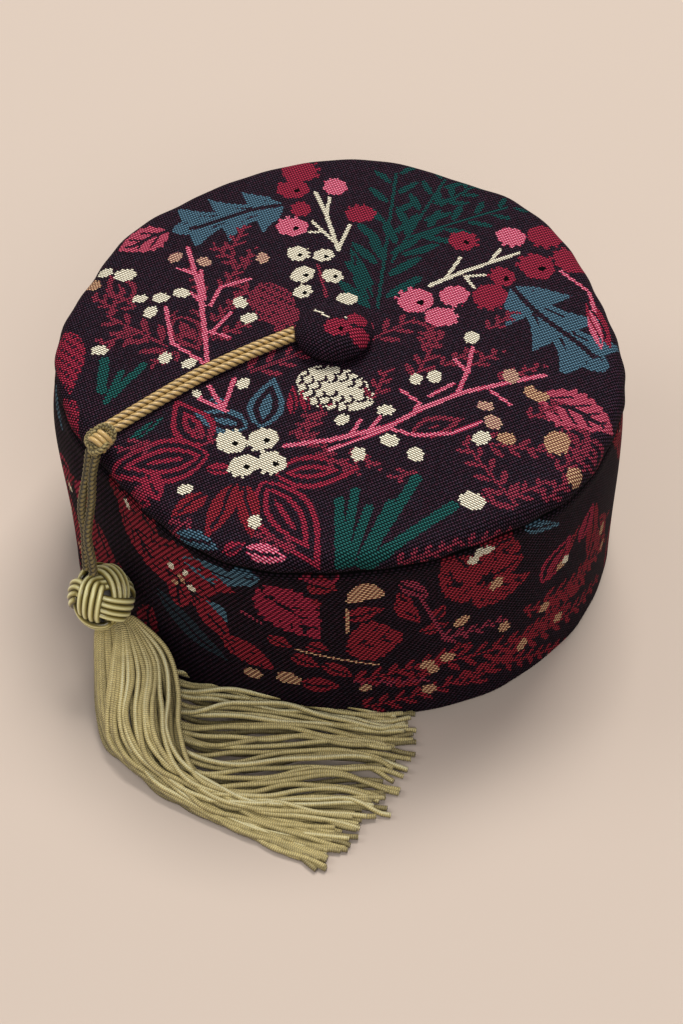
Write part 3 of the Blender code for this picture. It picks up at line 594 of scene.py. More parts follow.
def band_points(direction, share, inset=0.0):
    """Places of points of the band, at shares of its height from the rim to the seam."""
    radius = wall_radius(direction, share) + ripple(direction, share)
    pull = np.clip((share - PULL_SHARE) / (1 - PULL_SHARE), 0, 1)
    swell = SHOULDER_BULGE / 2 * np.exp(-(((share - SWELL_SHARE) / SWELL_SPREAD) ** 2))
    hem = np.clip(1 - share * SEAM_HEIGHT / HEM_ROUND, 0, 1)
    radius = radius + swell - BAND_PULL * pull**2 - HEM_ROUND * hem**2 - inset
    px, py = polar(direction, radius)
    return np.stack([px, py, share * (seam_height(py) - GAP / 2)], axis=1)


# Motifs of the cloth. Each takes points along and across the motif and gives where it is woven


def turned(x, y, turn):
    """Coordinates along and across a direction in radians."""
    return x * math.cos(turn) + y * math.sin(turn), y * math.cos(turn) - x * math.sin(turn)


def within(share):
    """Whether points lie between a motif's foot and its tip."""
    return (share > 0) & (share < 1)


def leaf_half(share, breadth, bend):
    """Half a leaf's breadth along it. The lower the bend, the nearer its widest place is to the foot."""
    return breadth / 2 * np.sin(math.pi * np.clip(share, 0, 1) ** bend)


def oval_half(share):
    """Half the breadth of an oval of breadth 2, along it."""
    return np.sqrt(np.clip(1 - (2 * share - 1) ** 2, 0, 1))


def leaf(along, across, length, breadth):
    """A blade with a bare vein. A broad one has a wavy edge and bare nicks between its side veins."""
    share = along / length
    away = np.abs(across)
    broad = breadth > BROAD_LEAF
    half = leaf_half(share, breadth, 0.8) * (1 - 0.16 * broad * np.sin(along * 0.9 + np.sign(across)) ** 2)
    vein = (np.abs(across + 0.6 * np.sin(0.35 * along)) < 0.25 + 0.035 * breadth) & (share < 0.8)
    slant = np.abs((away * 1.3 - along) % 6.5 - 3.2) < 0.75
    nick = slant & (away < half * 0.66) & (share > 0.15) & (share < 0.85) & broad
    return within(share) & (away < half) & ~vein & ~nick


def holly(along, across, length, breadth):
    """A blade whose lobes run out to points, with a bare vein and bare side veins."""
    share = along / length
    away = np.abs(across)
    lobe = (share * HOLLY_LOBES) % 1
    tapers = np.clip(share / 0.1, 0, 1) * np.clip((1 - share) / 0.16, 0, 1)
    half = breadth / 2 * (0.42 + 0.66 * lobe**1.4) * tapers**0.6
    vein = (np.abs(across + 1.2 * np.sin(6 * share)) < 1.0) & (share < 0.86)
    slant = np.abs(away - 0.5 * ((along + 3) % (length / HOLLY_LOBES)) - 1.0) < 0.75
    side = slant & (away > 2.4) & (away < half * 0.6)
    return within(share) & (away < half) & ~vein & ~side


def outlined(along, across, length, breadth):
    """A leaf drawn as a rim, a loop inside it and a middle line."""
    share = along / length
    depth = leaf_half(share, breadth, 0.75) - np.abs(across)
    rim = (depth > 0) & (depth < 2.0)
    loop = (depth > 4.1) & (depth < 5.9)
    middle = (depth > 8.0) & (np.abs(across) < 0.9)
    return within(share) & (rim | middle | loop)


def frond(along, across, length, breadth):
    """A stem with leaflets on both sides, smaller towards its tip."""
    woven = (np.abs(across) < 0.6) & (along > 0) & (along < length)
    spacing = 2.6 + 0.30 * breadth
    for number in range(int(length / spacing) + 1):
        for side, start in ((1, number * spacing), (-1, (number + 0.5) * spacing)):
            forward, sideways = turned(along - start, side * across, LEAFLET_LEAN)
            size = 0.62 * breadth * (1 - 0.5 * start / length)
            bent = sideways + 0.10 * forward - 0.1 * size
            woven |= ((forward / size - 0.56) / 0.46) ** 2 + (bent / (0.085 * size + 0.5)) ** 2 < 1
    return woven


def speckled(along, across, length, breadth):
    """A blade with many small bare specks."""
    share = along / length
    specks = np.sin(1.9 * along) * np.sin(1.7 * across + 0.8 * along) > 0.45
    return within(share) & (np.abs(across) < leaf_half(share, breadth, 0.7)) & ~specks


def cone(along, across, length, breadth):
    """An oval of scales laid like bricks, with bare arcs between them. A few have no arc."""
    share = along / length
    half = breadth / 2 * oval_half(share) * (1.12 - 0.25 * share)
    row = np.floor(along / SCALE_LENGTH)
    spot = across / SCALE_WIDTH + 0.5 * (row % 2) + 0.13 * np.sin(2.3 * row)
    off_middle = spot - np.floor(spot) - 0.5
    arc = along / SCALE_LENGTH - row + 2.1 * off_middle**2
    whole = np.sin(12.9 * row + 7.7 * np.floor(spot)) > 0.75
    gap = (np.abs(arc - 0.78) < 0.20) & ~whole
    return within(share) & (np.abs(across) < half) & ~gap


def cap(along, across, length, breadth):
    """The rounded top of a toadstool."""
    share = along / length
    return within(share) & (across > 0) & (across < breadth * oval_half(share))


def flower(along, across, length, breadth):
    """Petals round a small bare middle."""
    woven = np.zeros(len(along), dtype=bool)
    for petal in range(PETALS):
        forward, sideways = turned(along, across, math.radians(360 / PETALS * petal + 12))
        woven |= leaf(forward - 1.5, sideways, length, breadth * 0.85)
    return woven


MOTIFS = {motif.__name__: motif for motif in (leaf, holly, outlined, frond, speckled, cone, cap, flower)}


def thread_on_top(column, row):
    """Whether the cells show their thread: it lies over two cells and under the third."""
    return (column + 2 * row) % 3 != 0


def woven_colours(x, y, on_top, sprigs, stems, discs, ground="ground"):
    """Colours of the cells whose middles lie at x and y, in millimetres on the cloth."""
    tints = rng.uniform(0, 1, (len(x), 1))
    levels = rng.uniform(*GROUND_LEVELS, (len(x), 1))
    dyed = {name: np.where(on_top[:, None], dye.light, dye.dark) for name, dye in DYES.items()}
    colours = dyed[ground] * levels * (tints * PLUM_TINT + (1 - tints) * INK_TINT)
    for sprig in sprigs:
        margin = sprig.length + sprig.breadth + 4
        near = np.flatnonzero((np.abs(x - sprig.x) < margin) & (np.abs(y - sprig.y) < margin))
        along, across = turned(x[near] - sprig.x, y[near] - sprig.y, math.radians(sprig.turn))
        woven = near[MOTIFS[sprig.kind](along, across, sprig.length, sprig.breadth)]
        colours[woven] = dyed[sprig.dye][woven]
    for stem in stems:
        dx, dy = stem.to_x - stem.x, stem.to_y - stem.y
        margin = math.hypot(dx, dy) + 3
        near = np.flatnonzero((np.abs(x - stem.x) < margin) & (np.abs(y - stem.y) < margin))
        share = np.clip(((x[near] - stem.x) * dx + (y[near] - stem.y) * dy) / (dx**2 + dy**2), 0, 1)
        away = np.hypot(x[near] - stem.x - share * dx, y[near] - stem.y - share * dy)
        woven = near[away < stem.thick / 2]
        colours[woven] = dyed[stem.dye][woven]
    for disc in discs:
        dx, dy = x - disc.x, y - disc.y
        away, around = np.hypot(dx, dy), np.arctan2(dy, dx)
        uneven = 0.3 * np.sin(2 * around + disc.x) + 0.22 * np.sin(7 * around + disc.y)
        woven = away < disc.across / 2 + uneven
        if disc.across > TUFTED_DISC:
            tuft = (np.cos(around - 2.1 * disc.x) > 0.72) & (np.sin(11 * around) > 0.1)
            woven |= tuft & (away < 0.61 * disc.across)
        colours[woven] = dyed[disc.dye][woven]
        if disc.eye:
            eye = np.hypot(dx - 0.12 * disc.across, dy + 0.08 * disc.across)
            colours[eye < 0.08 * disc.across + 0.3] = DYES[ground].dark
    return colours


def shaded(colours, shades, distance):
    """The colours, darker near a seam that lies at a distance from each cell."""
    left = 1 - sum(shade.dark * np.exp(-((distance / shade.reach) ** 2)) for shade in shades)
    return colours * left[:, None]


def add_colours(mesh, name, domain, values):
    full = np.ones((len(values), 4), dtype=np.float32)
    full[:, :3] = values
    mesh.color_attributes.new(name, "FLOAT_COLOR", domain).data.foreach_set("color", full.ravel())


def mesh_piece(name, points, faces, material, uvs=None, colours=None, tones_and_painted_shade=None):
    """A piece from points and quads, with coordinates and tones with painted shade per point and colours
    per face.
    """
    mesh = bpy.data.meshes.new(name)
    mesh.from_pydata(np.asarray(points, dtype=float).tolist(), [], faces.tolist())
    mesh.shade_smooth()
    if uvs is not None:
        layer = mesh.uv_layers.new(name="threads")
        layer.data.foreach_set("uv", np.asarray(uvs, dtype=np.float32)[faces.ravel()].ravel())
    if colours is not None:
        add_colours(mesh, "weave", "CORNER", np.repeat(colours, 4, axis=0))
    if tones_and_painted_shade is not None:
        add_colours(mesh, "tone_and_painted_shade", "POINT", tones_and_painted_shade[:, None])
    mesh.materials.append(material)
    made = bpy.data.objects.new(name, mesh)
    bpy.context.scene.collection.objects.link(made)
    return made


def grid_of(rows, columns):
    """Two coordinates of a grid of points, row by row."""
    return (values.ravel() for values in np.meshgrid(rows, columns, indexing="ij"))


def grid_faces(rows, columns):
    """Quads of a grid of points that is stored row by row."""
    here = (np.arange(rows - 1)[:, None] * columns + np.arange(columns - 1)[None, :]).ravel()
    return np.stack([here, here + 1, here + columns + 1, here + columns], axis=1)


def wrapped_grid(lowest, highest, start, size):
    """A grid of rows, each a full turn in degrees: every point's level and direction, and the quads."""
    rows, columns = size
    levels, directions = np.linspace(lowest, highest, rows), np.linspace(start, start + 360, columns)
    return *grid_of(levels, directions), grid_faces(rows, columns)


def feed(material, socket, value):
    """Sets an input to a number or a colour, or links it to the result of another node."""
    if isinstance(value, bpy.types.NodeSocket):
        material.node_tree.links.new(value, socket)
    elif isinstance(value, tuple):
        socket.default_value = (*value, 1)
    else:
        socket.default_value = value


def new_material(name, colour, roughness, sheen=0.0, specular=0.5):
    made = bpy.data.materials.new(name)
    made.use_nodes = True
    shader = made.node_tree.nodes["Principled BSDF"]
    names = ("Base Color", "Roughness", "Sheen Weight", "Specular IOR Level")
    for slot, value in zip(names, (colour, roughness, sheen, specular)):
        feed(made, shader.inputs[slot], value)
    return made


def to_shader(material, slot, result):
    feed(material, material.node_tree.nodes["Principled BSDF"].inputs[slot], result)


def add_node(material, kind, inputs=None, **settings):
    """A node with its settings and its inputs, by name or number."""
    node = material.node_tree.nodes.new(kind)
    for name, value in settings.items():
        setattr(node, name, value)
    for slot, value in (inputs or {}).items():
        feed(material, node.inputs[slot], value)
    return node


def maths(material, operation, *values):
    """The result of a Math node on one or two results or numbers."""
    return add_node(material, "ShaderNodeMath", dict(enumerate(values)), operation=operation).outputs[0]


def sine(material, value, factor):
    """The sine of a value times a factor."""
    return maths(material, "SINE", maths(material, "MULTIPLY", value, factor))


def scaled(material, value, factor, added):
    """A value times a factor, with something added."""
    return maths(material, "ADD", maths(material, "MULTIPLY", value, factor), added)


def mixed(material, factor, first, second, blend="MIX"):
    """The result of a mix of two colours."""
    inputs = {"Factor": factor, 6: first, 7: second}
    return add_node(material, "ShaderNodeMix", inputs, data_type="RGBA", blend_type=blend).outputs[2]


def bumped(material, height, strength, distance):
    """Adds relief to the material from a height between 0 and 1."""
    inputs = {"Strength": strength, "Distance": distance, "Height": height}
    to_shader(material, "Normal", add_node(material, "ShaderNodeBump", inputs).outputs["Normal"])


def thread_axes(material):
    """The two coordinates along a piece's threads."""
    chart = add_node(material, "ShaderNodeUVMap", uv_map="threads")
    parts = add_node(material, "ShaderNodeSeparateXYZ", {0: chart.outputs["UV"]})
    return parts.outputs[0], parts.outputs[1]


def painted(material, layer):
    """The colours of one of a piece's layers."""
    return add_node(material, "ShaderNodeVertexColor", layer_name=layer).outputs["Color"]


def noise(material, scale, detail=2.0):
    """Noise between 0 and 1 in the object's own space."""
    place = add_node(material, "ShaderNodeTexCoord").outputs["Object"]
    inputs = {"Scale": scale, "Detail": detail, "Vector": place}
    return add_node(material, "ShaderNodeTexNoise", inputs).outputs["Fac"]


def cloth_material():
    """Woven jacquard: each cell's dye, rounded threads with painted shade at their edges and in the gaps
    between rows, and a slight unevenness of tone.
    """
    made = new_material("jacquard_weave", (0.03, 0.014, 0.026), 0.85, specular=0.06)
    dye = painted(made, "weave")
    u, v = thread_axes(made)
    crest = maths(made, "POWER", maths(made, "ABSOLUTE", sine(made, v, math.pi)), THREAD_SHARPNESS)
    place = maths(made, "FLOORED_MODULO", scaled(made, maths(made, "FLOOR", v), 2.0, u), 3.0)
    over = sine(made, maths(made, "SUBTRACT", place, 1.0), math.pi / 2)
    under = sine(made, maths(made, "MINIMUM", place, 1.0), math.pi)
    rounded = maths(made, "MAXIMUM", maths(made, "MAXIMUM", over, under), 0.0)
    thread_relief_and_painted_shade = maths(made, "MULTIPLY", crest, maths(made, "POWER", rounded, 0.5))
    flecks = maths(made, "MULTIPLY", noise(made, FLECK_SCALE), FLECK_LIGHT)
    # the thread profile darkens each cell towards its edges and between rows: painted shade
    level = scaled(made, thread_relief_and_painted_shade, THREAD_LIGHT, flecks)
    grey = add_node(made, "ShaderNodeCombineColor", {0: level, 1: level, 2: level}).outputs[0]
    to_shader(made, "Base Color", mixed(made, 1.0, dye, grey, blend="MULTIPLY"))
    bumped(made, thread_relief_and_painted_shade, *THREAD_RELIEF)
    return made


def reverse_material():
    """The plain back of the cloth, seen inside the cap."""
    made = new_material("cloth_reverse", (0.05, 0.03, 0.045), 0.9, sheen=0.1, specular=0.2)
    u, v = thread_axes(made)
    flecks = noise(made, REVERSE_FLECK_SCALE)
    to_shader(made, "Base Color", mixed(made, flecks, (0.012, 0.009, 0.015), (0.13, 0.06, 0.085)))
    bumped(made, sine(made, maths(made, "ADD", u, v), math.pi), *REVERSE_RELIEF)
    return made


def strand_material(name, dark, light, roughness, sharpness, specular=0.5, painted_highlight=None, ribbed=False):
    """Cord that is mixed from a lit colour on its crests to a shaded colour between them, by its painted
    shade, with patchy tone.
    It may have a painted highlight on its tops and ribs across it. The higher the sharpness, the narrower
    the crests."""
    made = new_material(name, light, roughness, sheen=CORD_SHEEN, specular=specular)
    tone_and_painted_shade = add_node(made, "ShaderNodeSeparateColor", {0: painted(made, "tone_and_painted_shade")}).outputs[0]
    patchy = scaled(made, noise(made, PATCH_SCALE, PATCH_DETAIL), PATCH_SPAN, PATCH_LOWEST)
    level = maths(made, "MULTIPLY", maths(made, "POWER", tone_and_painted_shade, sharpness), patchy)
    if ribbed:
        u, v = thread_axes(made)
        rib_relief_and_painted_shade = scaled(made, sine(made, scaled(made, u, RIB_SLANT, v), 2 * math.pi / RIB_PITCH), 0.5, 0.5)
        # besides their relief, the ribs darken the colour between them as painted shade
        level = maths(made, "MULTIPLY", level, scaled(made, rib_relief_and_painted_shade, RIB_PAINTED_SHADE, 1.0 - RIB_PAINTED_SHADE))
        bumped(made, rib_relief_and_painted_shade, *RIB_RELIEF)
    colour = mixed(made, maths(made, "MINIMUM", level, 1.0), dark, light)
    if painted_highlight:
        colour = mixed(made, maths(made, "POWER", tone_and_painted_shade, PAINTED_HIGHLIGHT_SHARPNESS), colour, painted_highlight)
    to_shader(made, "Base Color", colour)
    return made


def unit(vectors):
    return vectors / np.maximum(np.linalg.norm(vectors, axis=-1, keepdims=True), 1e-12)


def run_along(path):
    """How far along a path each of its points lies."""
    return np.concatenate([[0], np.cumsum(np.linalg.norm(np.diff(path, axis=0), axis=1))])


def smooth_route(route, spacing=None, count=None):
    """Evenly spaced points along a smooth curve through the route's own points."""
    knots = [Vector(point) for point in route]
    knots = [2 * knots[0] - knots[1], *knots, 2 * knots[-1] - knots[-2]]
    fine = []
    for a, b, c, d in zip(knots, knots[1:], knots[2:], knots[3:]):
        for step in range(CURVE_STEPS):
            t = step / CURVE_STEPS
            square = 2 * a - 5 * b + 4 * c - d
            cube = 3 * b - a - 3 * c + d
            fine.append(0.5 * (2 * b + (c - a) * t + square * t**2 + cube * t**3))
    fine.append(knots[-2])
    fine = np.array([tuple(point) for point in fine])
    travelled = run_along(fine)
    if count is None:
        count = max(3, round(travelled[-1] / spacing))
    wanted = np.linspace(0, travelled[-1], count + 1)
    return np.stack([np.interp(wanted, travelled, fine[:, axis]) for axis in range(3)], axis=1)


def frames(path, start, closed=False):
    """Directions across a path, two at each point, carried along without twist."""
    if closed:
        tangent = unit(np.roll(path, -1, axis=0) - np.roll(path, 1, axis=0))
    else:
        tangent = unit(np.gradient(path, axis=0))
    normal = np.empty_like(path)
    last = np.asarray(start, dtype=float)
    for place, along in enumerate(tangent):
        last = unit(last - last.dot(along) * along)
        normal[place] = last
    return normal, np.cross(tangent, normal)


class Strands:
    """Gathers many tubes into one mesh."""

    def __init__(self):
        self.parts = ([], [], [], [])
        self.count = 0

    def tube(
        self, path, radius, sides, core, start=TUBE_START, closed=False, span=None, tone_and_painted_shade=1.0, ribs_from=0.0
    ):
        """Adds a tube, darker on its side towards a core line as painted shade. With a span of distances
        from that line, the painted shade lifts over the span instead, darkest nearest the line. Its tone
        scales the whole tube."""
        normal, across = frames(path, start, closed)
        rows, side = len(path), np.arange(sides)
        size = np.broadcast_to(radius, (rows,))[:, None, None]
        length = run_along(path)
        turn = 2 * np.pi * side / sides
        ring = np.cos(turn)[None, :, None] * normal[:, None, :]
        ring = ring + np.sin(turn)[None, :, None] * across[:, None, :]
        points = path[:, None, :] + size * ring
        if span is None:
            away = unit(path - core)[:, None, :]
            tones_and_painted_shade = tone_and_painted_shade * (0.5 + 0.5 * (ring * away).sum(axis=2))
        else:
            reach = np.linalg.norm(points - core[:, None, :], axis=2)
            tones_and_painted_shade = tone_and_painted_shade * np.clip((reach - span[0]) / (span[1] - span[0]), 0, 1)
        uvs = np.stack(np.broadcast_arrays(turn, length[:, None] / MM + ribs_from), axis=-1)
        here = np.arange(rows if closed else rows - 1)[:, None] * sides + side
        aside = here - side + (side + 1) % sides
        above, above_aside = ((spot + sides) % (rows * sides) for spot in (here, aside))
        quads = np.stack([here, aside, above_aside, above], axis=-1).reshape(-1, 4)
        points, uvs, tones_and_painted_shade = points.reshape(-1, 3), uvs.reshape(-1, 2), tones_and_painted_shade.ravel()
        if not closed:
            points = np.concatenate([points, path[[0, -1]]])
            uvs = np.concatenate([uvs, [[0, 0], [0, length[-1] / MM]]])
            tones_and_painted_shade = np.concatenate([tones_and_painted_shade, [0.5 * tone_and_painted_shade, 0.5 * tone_and_painted_shade]])
            first, last, top = rows * sides, rows * sides + 1, (rows - 1) * sides
            lids = []
            for a in range(0, sides, 2):
                b, c = a + 1, (a + 2) % sides
                lids += [[first, c, b, a], [last, top + a, top + b, top + c]]
            quads = np.concatenate([quads, lids])
        for part, added in zip(self.parts, (points, quads + self.count, uvs, tones_and_painted_shade)):
            part.append(added)
        self.count += len(points)

    def twisted(self, path, diameter, laid_before=0.0):
        """Adds a rope of plies laid round each other, which may carry on an earlier length."""
        normal, across = frames(path, UP)
        length = laid_before + run_along(path)
        ply = PLY_SHARE * diameter
        # painted shade in the grooves between the plies, darkest nearest the rope's middle line
        span = [share * diameter for share in PLY_SHADE]
        for number in range(ROPE_PLIES):
            phase = 2 * np.pi * (length / ROPE_PITCH + number / ROPE_PLIES)[:, None]
            laid = (diameter / 2 - ply) * (np.cos(phase) * normal + np.sin(phase) * across)
            self.tube(path + laid, ply, ROPE_SIDES, path, UP, span=span)

    def plaited(self, path, diameter, pitch, sides, start):
        """Adds a plait of three strands that pass over and under each other."""
        normal, across = frames(path, start)
        length = run_along(path)
        # painted shade in the gaps between the strands, darkest nearest the plait's middle line
        span = [share * diameter for share in PLAIT_SHADE]
        for number in range(3):
            phase = 2 * np.pi * (length / pitch + number / 3)
            wide = PLAIT_WIDE * diameter * np.sin(phase)[:, None] * across
            deep = PLAIT_DEEP * diameter * np.sin(2 * phase)[:, None] * normal
            strand = PLAIT_STRAND * diameter * (1 + PLAIT_SWELL * np.cos(2 * phase))
            self.tube(path + wide + deep, strand, sides, path, start, span=span)

    def piece(self, name, material):
        points, faces, uvs, tones_and_painted_shade = (np.concatenate(part) for part in self.parts)
        return mesh_piece(name, points, faces, material, uvs=uvs, tones_and_painted_shade=tones_and_painted_shade)


def keep(piece, slot, *nodes):
    """The piece rides on the cap and stands for its solids. The slot is not used."""
    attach(piece, "root")
    if nodes:
        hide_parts(*nodes)
    return piece


def make_camera():
    down, turn, roll = (math.radians(angle) for angle in (CAMERA_DOWN, CAMERA_TURN, CAMERA_ROLL))
    ahead = Vector((math.sin(turn) * math.cos(down), math.cos(turn) * math.cos(down), -math.sin(down)))
    right = ahead.cross(Vector(UP)).normalized()
    up = right.cross(ahead)
    rolled_right = right * math.cos(roll) + up * math.sin(roll)
    rolled_up = up * math.cos(roll) - right * math.sin(roll)
    data = bpy.data.cameras.new("camera")
    data.sensor_width = SENSOR
    data.sensor_fit = "AUTO"
    data.lens = FOCAL_PIXELS * SENSOR / IMAGE_HEIGHT
    data.clip_start = NEAREST_SEEN
    camera = bpy.data.objects.new("camera", data)
    bpy.context.scene.collection.objects.link(camera)
    axes = Matrix((rolled_right, rolled_up, -ahead)).transposed().to_4x4()
    camera.matrix_world = Matrix.Translation(CAMERA_PLACE) @ axes
    bpy.context.scene.camera = camera


def beside(points, offset):
    """The same route moved sideways, level with the surface that the object stands on."""
    along = np.gradient(points, axis=0)
    along[:, 2] = 0
    along = unit(along)
    return points + offset * np.stack([-along[:, 1], along[:, 0], np.zeros(len(points))], axis=1)


def rope_lines():
    """Centre lines of the two gold ropes, laid on the crown."""
    middle = smooth_route([(x, y, 0) for x, y in ROPE_ROUTE], spacing=ROPE_SPACING)
    lines = []
    for side in (1, -1):
        laid = beside(middle, side * (ROPE_DIAMETER + GAP) / 2)
        laid[:, 2] = dome_height(laid[:, 0], laid[:, 1]) + ROPE_DIAMETER / 2 + GAP / 2
        lines.append(laid)
    return lines


def plait_lines():
    """Centre lines of the two olive cords, which sway and turn round each other as they hang."""
    middle = smooth_route(PLAIT_ROUTE, spacing=PLAIT_SPACING)
    turn = math.radians(BALL_DIRECTION + 90)
    across = np.array((math.cos(turn), math.sin(turn), 0))
    outward = np.array((math.sin(turn), -math.cos(turn), 0))
    share = np.linspace(0, 1, len(middle))
    held = np.sin(math.pi * share)[:, None]
    sway = PLAIT_SWAY * np.sin(2 * math.pi * PLAIT_SWAYS * share)[:, None] * held * across
    lean = (PLAIT_LEAN * np.sin(2 * math.pi * PLAIT_LEANS * share + LEAN_START))[:, None] * held
    apart = (across * np.cos(lean) + outward * np.sin(lean)) * (PLAIT_DIAMETER + GAP) / 2
    return [middle + sway + apart, middle + sway - apart]


def knot_frame():
    """The edge knot's middle and its directions forward, outward and across."""
    bend, turn = math.radians(KNOT_BEND), math.radians(KNOT_DIRECTION)
    away = Vector((math.cos(turn), math.sin(turn), 0))
    across = Vector((-math.sin(turn), math.cos(turn), 0))
    outward = away * math.cos(bend) + Vector(UP) * math.sin(bend)
    forward = away * math.sin(bend) - Vector(UP) * math.cos(bend)
    centre = Vector((*CAP_MIDDLE, 0)) + (float(seam_radius(KNOT_DIRECTION)) - CROWN_INSET) * away
    centre.z = seam_height(centre.y) + SHOULDER_BASE
    return centre + (SHOULDER_RADIUS + KNOT_LIFT) * outward, (forward, outward, across)


def along_axes(parts, axes):
    """A vector from its parts along three axes."""
    return sum((part * axis for part, axis in zip(parts, axes)), Vector())


def loop_path(centre, axis, radius, squash=1.0):
    side = axis.orthogonal().normalized()
    other = axis.cross(side)
    turns = [2 * math.pi * step / LOOP_STEPS for step in range(LOOP_STEPS)]
    return np.array([centre + radius * (math.cos(t) * side + squash * math.sin(t) * other) for t in turns])


def make_edge_knot(rope_finish, plait_finish):
    """Plaited olive loops round gold coils, and the ends of the two ropes, which run to its middle."""
    centre, axes = knot_frame()
    forward, outward = axes[:2]
    olive, gold = Strands(), Strands()
    for loop in KNOT_LOOPS:
        axis = along_axes(loop.axis, axes).normalized()
        path = loop_path(centre + along_axes(loop.middle, axes), axis, loop.radius, loop.squash)
        path = np.concatenate([path, path[:LOOP_OVERLAP]])
        olive.plaited(path, LOOP_DIAMETER, LOOP_PITCH, LOOP_SIDES, axis)
    for number in range(COIL_COUNT):
        steps = number - (COIL_COUNT - 1) / 2
        middle = centre + COIL_START * forward + steps * along_axes(COIL_STEP, axes)
        path = loop_path(middle, along_axes(COIL_AXIS, axes).normalized(), COIL_RADIUS)
        # each coil is darker on its inner side, towards its middle, as painted shade
        gold.tube(path, COIL_STRAND, COIL_SIDES, np.array(middle), forward, closed=True)
    for line, side in zip(rope_lines(), (1, -1)):
        ahead = unit(line[-1] - line[-4])
        sideways = np.array((-ahead[1], ahead[0], 0))
        goal = np.array(centre + STUB_RISE * outward) + STUB_APART * side * sideways
        route = [line[-1] - STUB_OVERLAP * ahead, line[-1] + STUB_STRAIGHT * ahead, goal]
        stub = smooth_route(route, spacing=STUB_SPACING)
        gold.twisted(stub, STUB_SHARE * ROPE_DIAMETER, run_along(line)[-1] - STUB_OVERLAP)
    hitch = olive.piece("edge_knot_loops", plait_finish)
    coils = gold.piece("edge_knot_coils", rope_finish)
    coils.parent = hitch
    return hitch


def ball_centre():
    radius = float(wall_radius(BALL_DIRECTION, BALL_HEIGHT / SEAM_HEIGHT))
    x, y = polar(BALL_DIRECTION, radius + GAP + BALL_RADIUS - BALL_SETTLE)
    return Vector((x, y, BALL_HEIGHT))


def make_ball(material):
    """Parallel strands that follow the knot's one closed path, over and under in turn."""
    side, front, up = (np.array(axis) for axis in BALL_TURNED)
    steps = BALL_STEPS * BALL_LEADS
    turn = 2 * np.pi * BALL_LEADS * np.arange(steps) / steps
    phase = BALL_BIGHTS * turn / BALL_LEADS
    tilt = math.radians(BALL_REACH) * np.cos(phase)
    lift = -np.sin((BALL_LEADS - 1) * phase)
    spun = turn + math.radians(BALL_SPIN)
    way = np.cos(tilt)[:, None] * (np.cos(spun)[:, None] * side + np.sin(spun)[:, None] * front)
    way = way + np.sin(tilt)[:, None] * up
    along = unit(np.roll(way, -1, axis=0) - np.roll(way, 1, axis=0))
    sideways = np.cross(way, along)
    centre = np.array(ball_centre())
    radius = BALL_RADIUS - BALL_STRAND / 2 - BALL_LIFT + BALL_LIFT * lift
    bundle = Strands()
    for number in range(BALL_STRANDS):
        shift = (number - (BALL_STRANDS - 1) / 2) * BALL_SPACING
        spot = unit(way + sideways * shift / (BALL_RADIUS - BALL_LIFT))
        # each strand is darker on its side towards the ball's middle, as painted shade
        bundle.tube(centre + spot * radius[:, None], BALL_STRAND / 2, BALL_SIDES, centre, closed=True)
    return bundle.piece("ball_knot_strands", material)


def make_ball_core(material):
    """A small ball that closes the knot from inside, toned dark as painted shade in the gaps between the
    strands.
    """
    tilt, turn, faces = wrapped_grid(-89, 89, 0, INNER_BALL_GRID)
    tilt, turn = np.radians(tilt), np.radians(turn)
    points = np.stack([np.cos(tilt) * np.cos(turn), np.cos(tilt) * np.sin(turn), np.sin(tilt)], axis=1)
    places = np.array(ball_centre()) + INNER_BALL * points
    uvs = np.stack([turn, tilt], axis=1)
    tones_and_painted_shade = np.full(len(points), INNER_BALL_PAINTED_SHADE)
    return mesh_piece("ball_knot_core", places, faces, material, uvs=uvs, tones_and_painted_shade=tones_and_painted_shade)


def guide_at(guides, share):
    """The line at a share of the way across a set of guide lines."""
    at = share * (len(guides) - 1)
    first = min(int(at), len(guides) - 2)
    part = at - first
    return np.array(guides[first]) * (1 - part) + np.array(guides[first + 1]) * part


def strand_line(guides, share, depth=0.0, drop=0.0, twist=0.0):
    """One strand's line: on its guide at depth 0, and below it by up to the drop at depth 1."""
    points = guide_at(guides, share)
    for place, part in enumerate(TWIST_FADE):
        points[place] = guide_at(guides, share + (1 - share) * twist * part)[place]
    radius = STRAND_DIAMETER / 2
    sunk = np.minimum(np.arange(len(points)) / len(TWIST_FADE), 1)
    points[:, 2] = radius + (points[:, 2] - radius) * (1 - depth * drop * sunk)
    points[-1] = points[-1] + rng.uniform(-CUT_JITTER, CUT_JITTER) * unit(points[-1] - points[-2])
    points[3:] = points[3:] + rng.uniform(-POINT_JITTER, POINT_JITTER, (len(points) - 3, 3))
    neck = np.array(ball_centre() - (BALL_CORE + GAP) * BALL_AXIS)
    inside = neck + NECK_SHARE * (points[0] - neck) * (1, 1, 0) + (0, 0, NECK_RISE)
    outward = COLLAR_SHARE * (points[0] - neck) * (1, 1, COLLAR_DROP)
    collar = neck + outward * (1 - COLLAR_TUCK * depth)
    line = smooth_route([inside, collar, *points[1:]], count=STRAND_POINTS)
    shares = np.linspace(0, 1, len(line))
    sideways = unit(np.cross(np.gradient(line, axis=0), UP))
    grown = np.clip(shares * 2.5 - 0.3, 0, 1)
    turns = [rng.uniform(wave.fewest, wave.most) for wave in STRAND_WAVES]
    for wave, times in zip(STRAND_WAVES, turns):
        phase = 2 * np.pi * (shares * times + rng.uniform(0, 1))
        line = line + (wave.size * np.sin(phase) * grown)[:, None] * sideways
    line[:, 2] = np.maximum(line[:, 2], radius + 0.1 * MM)
    return line


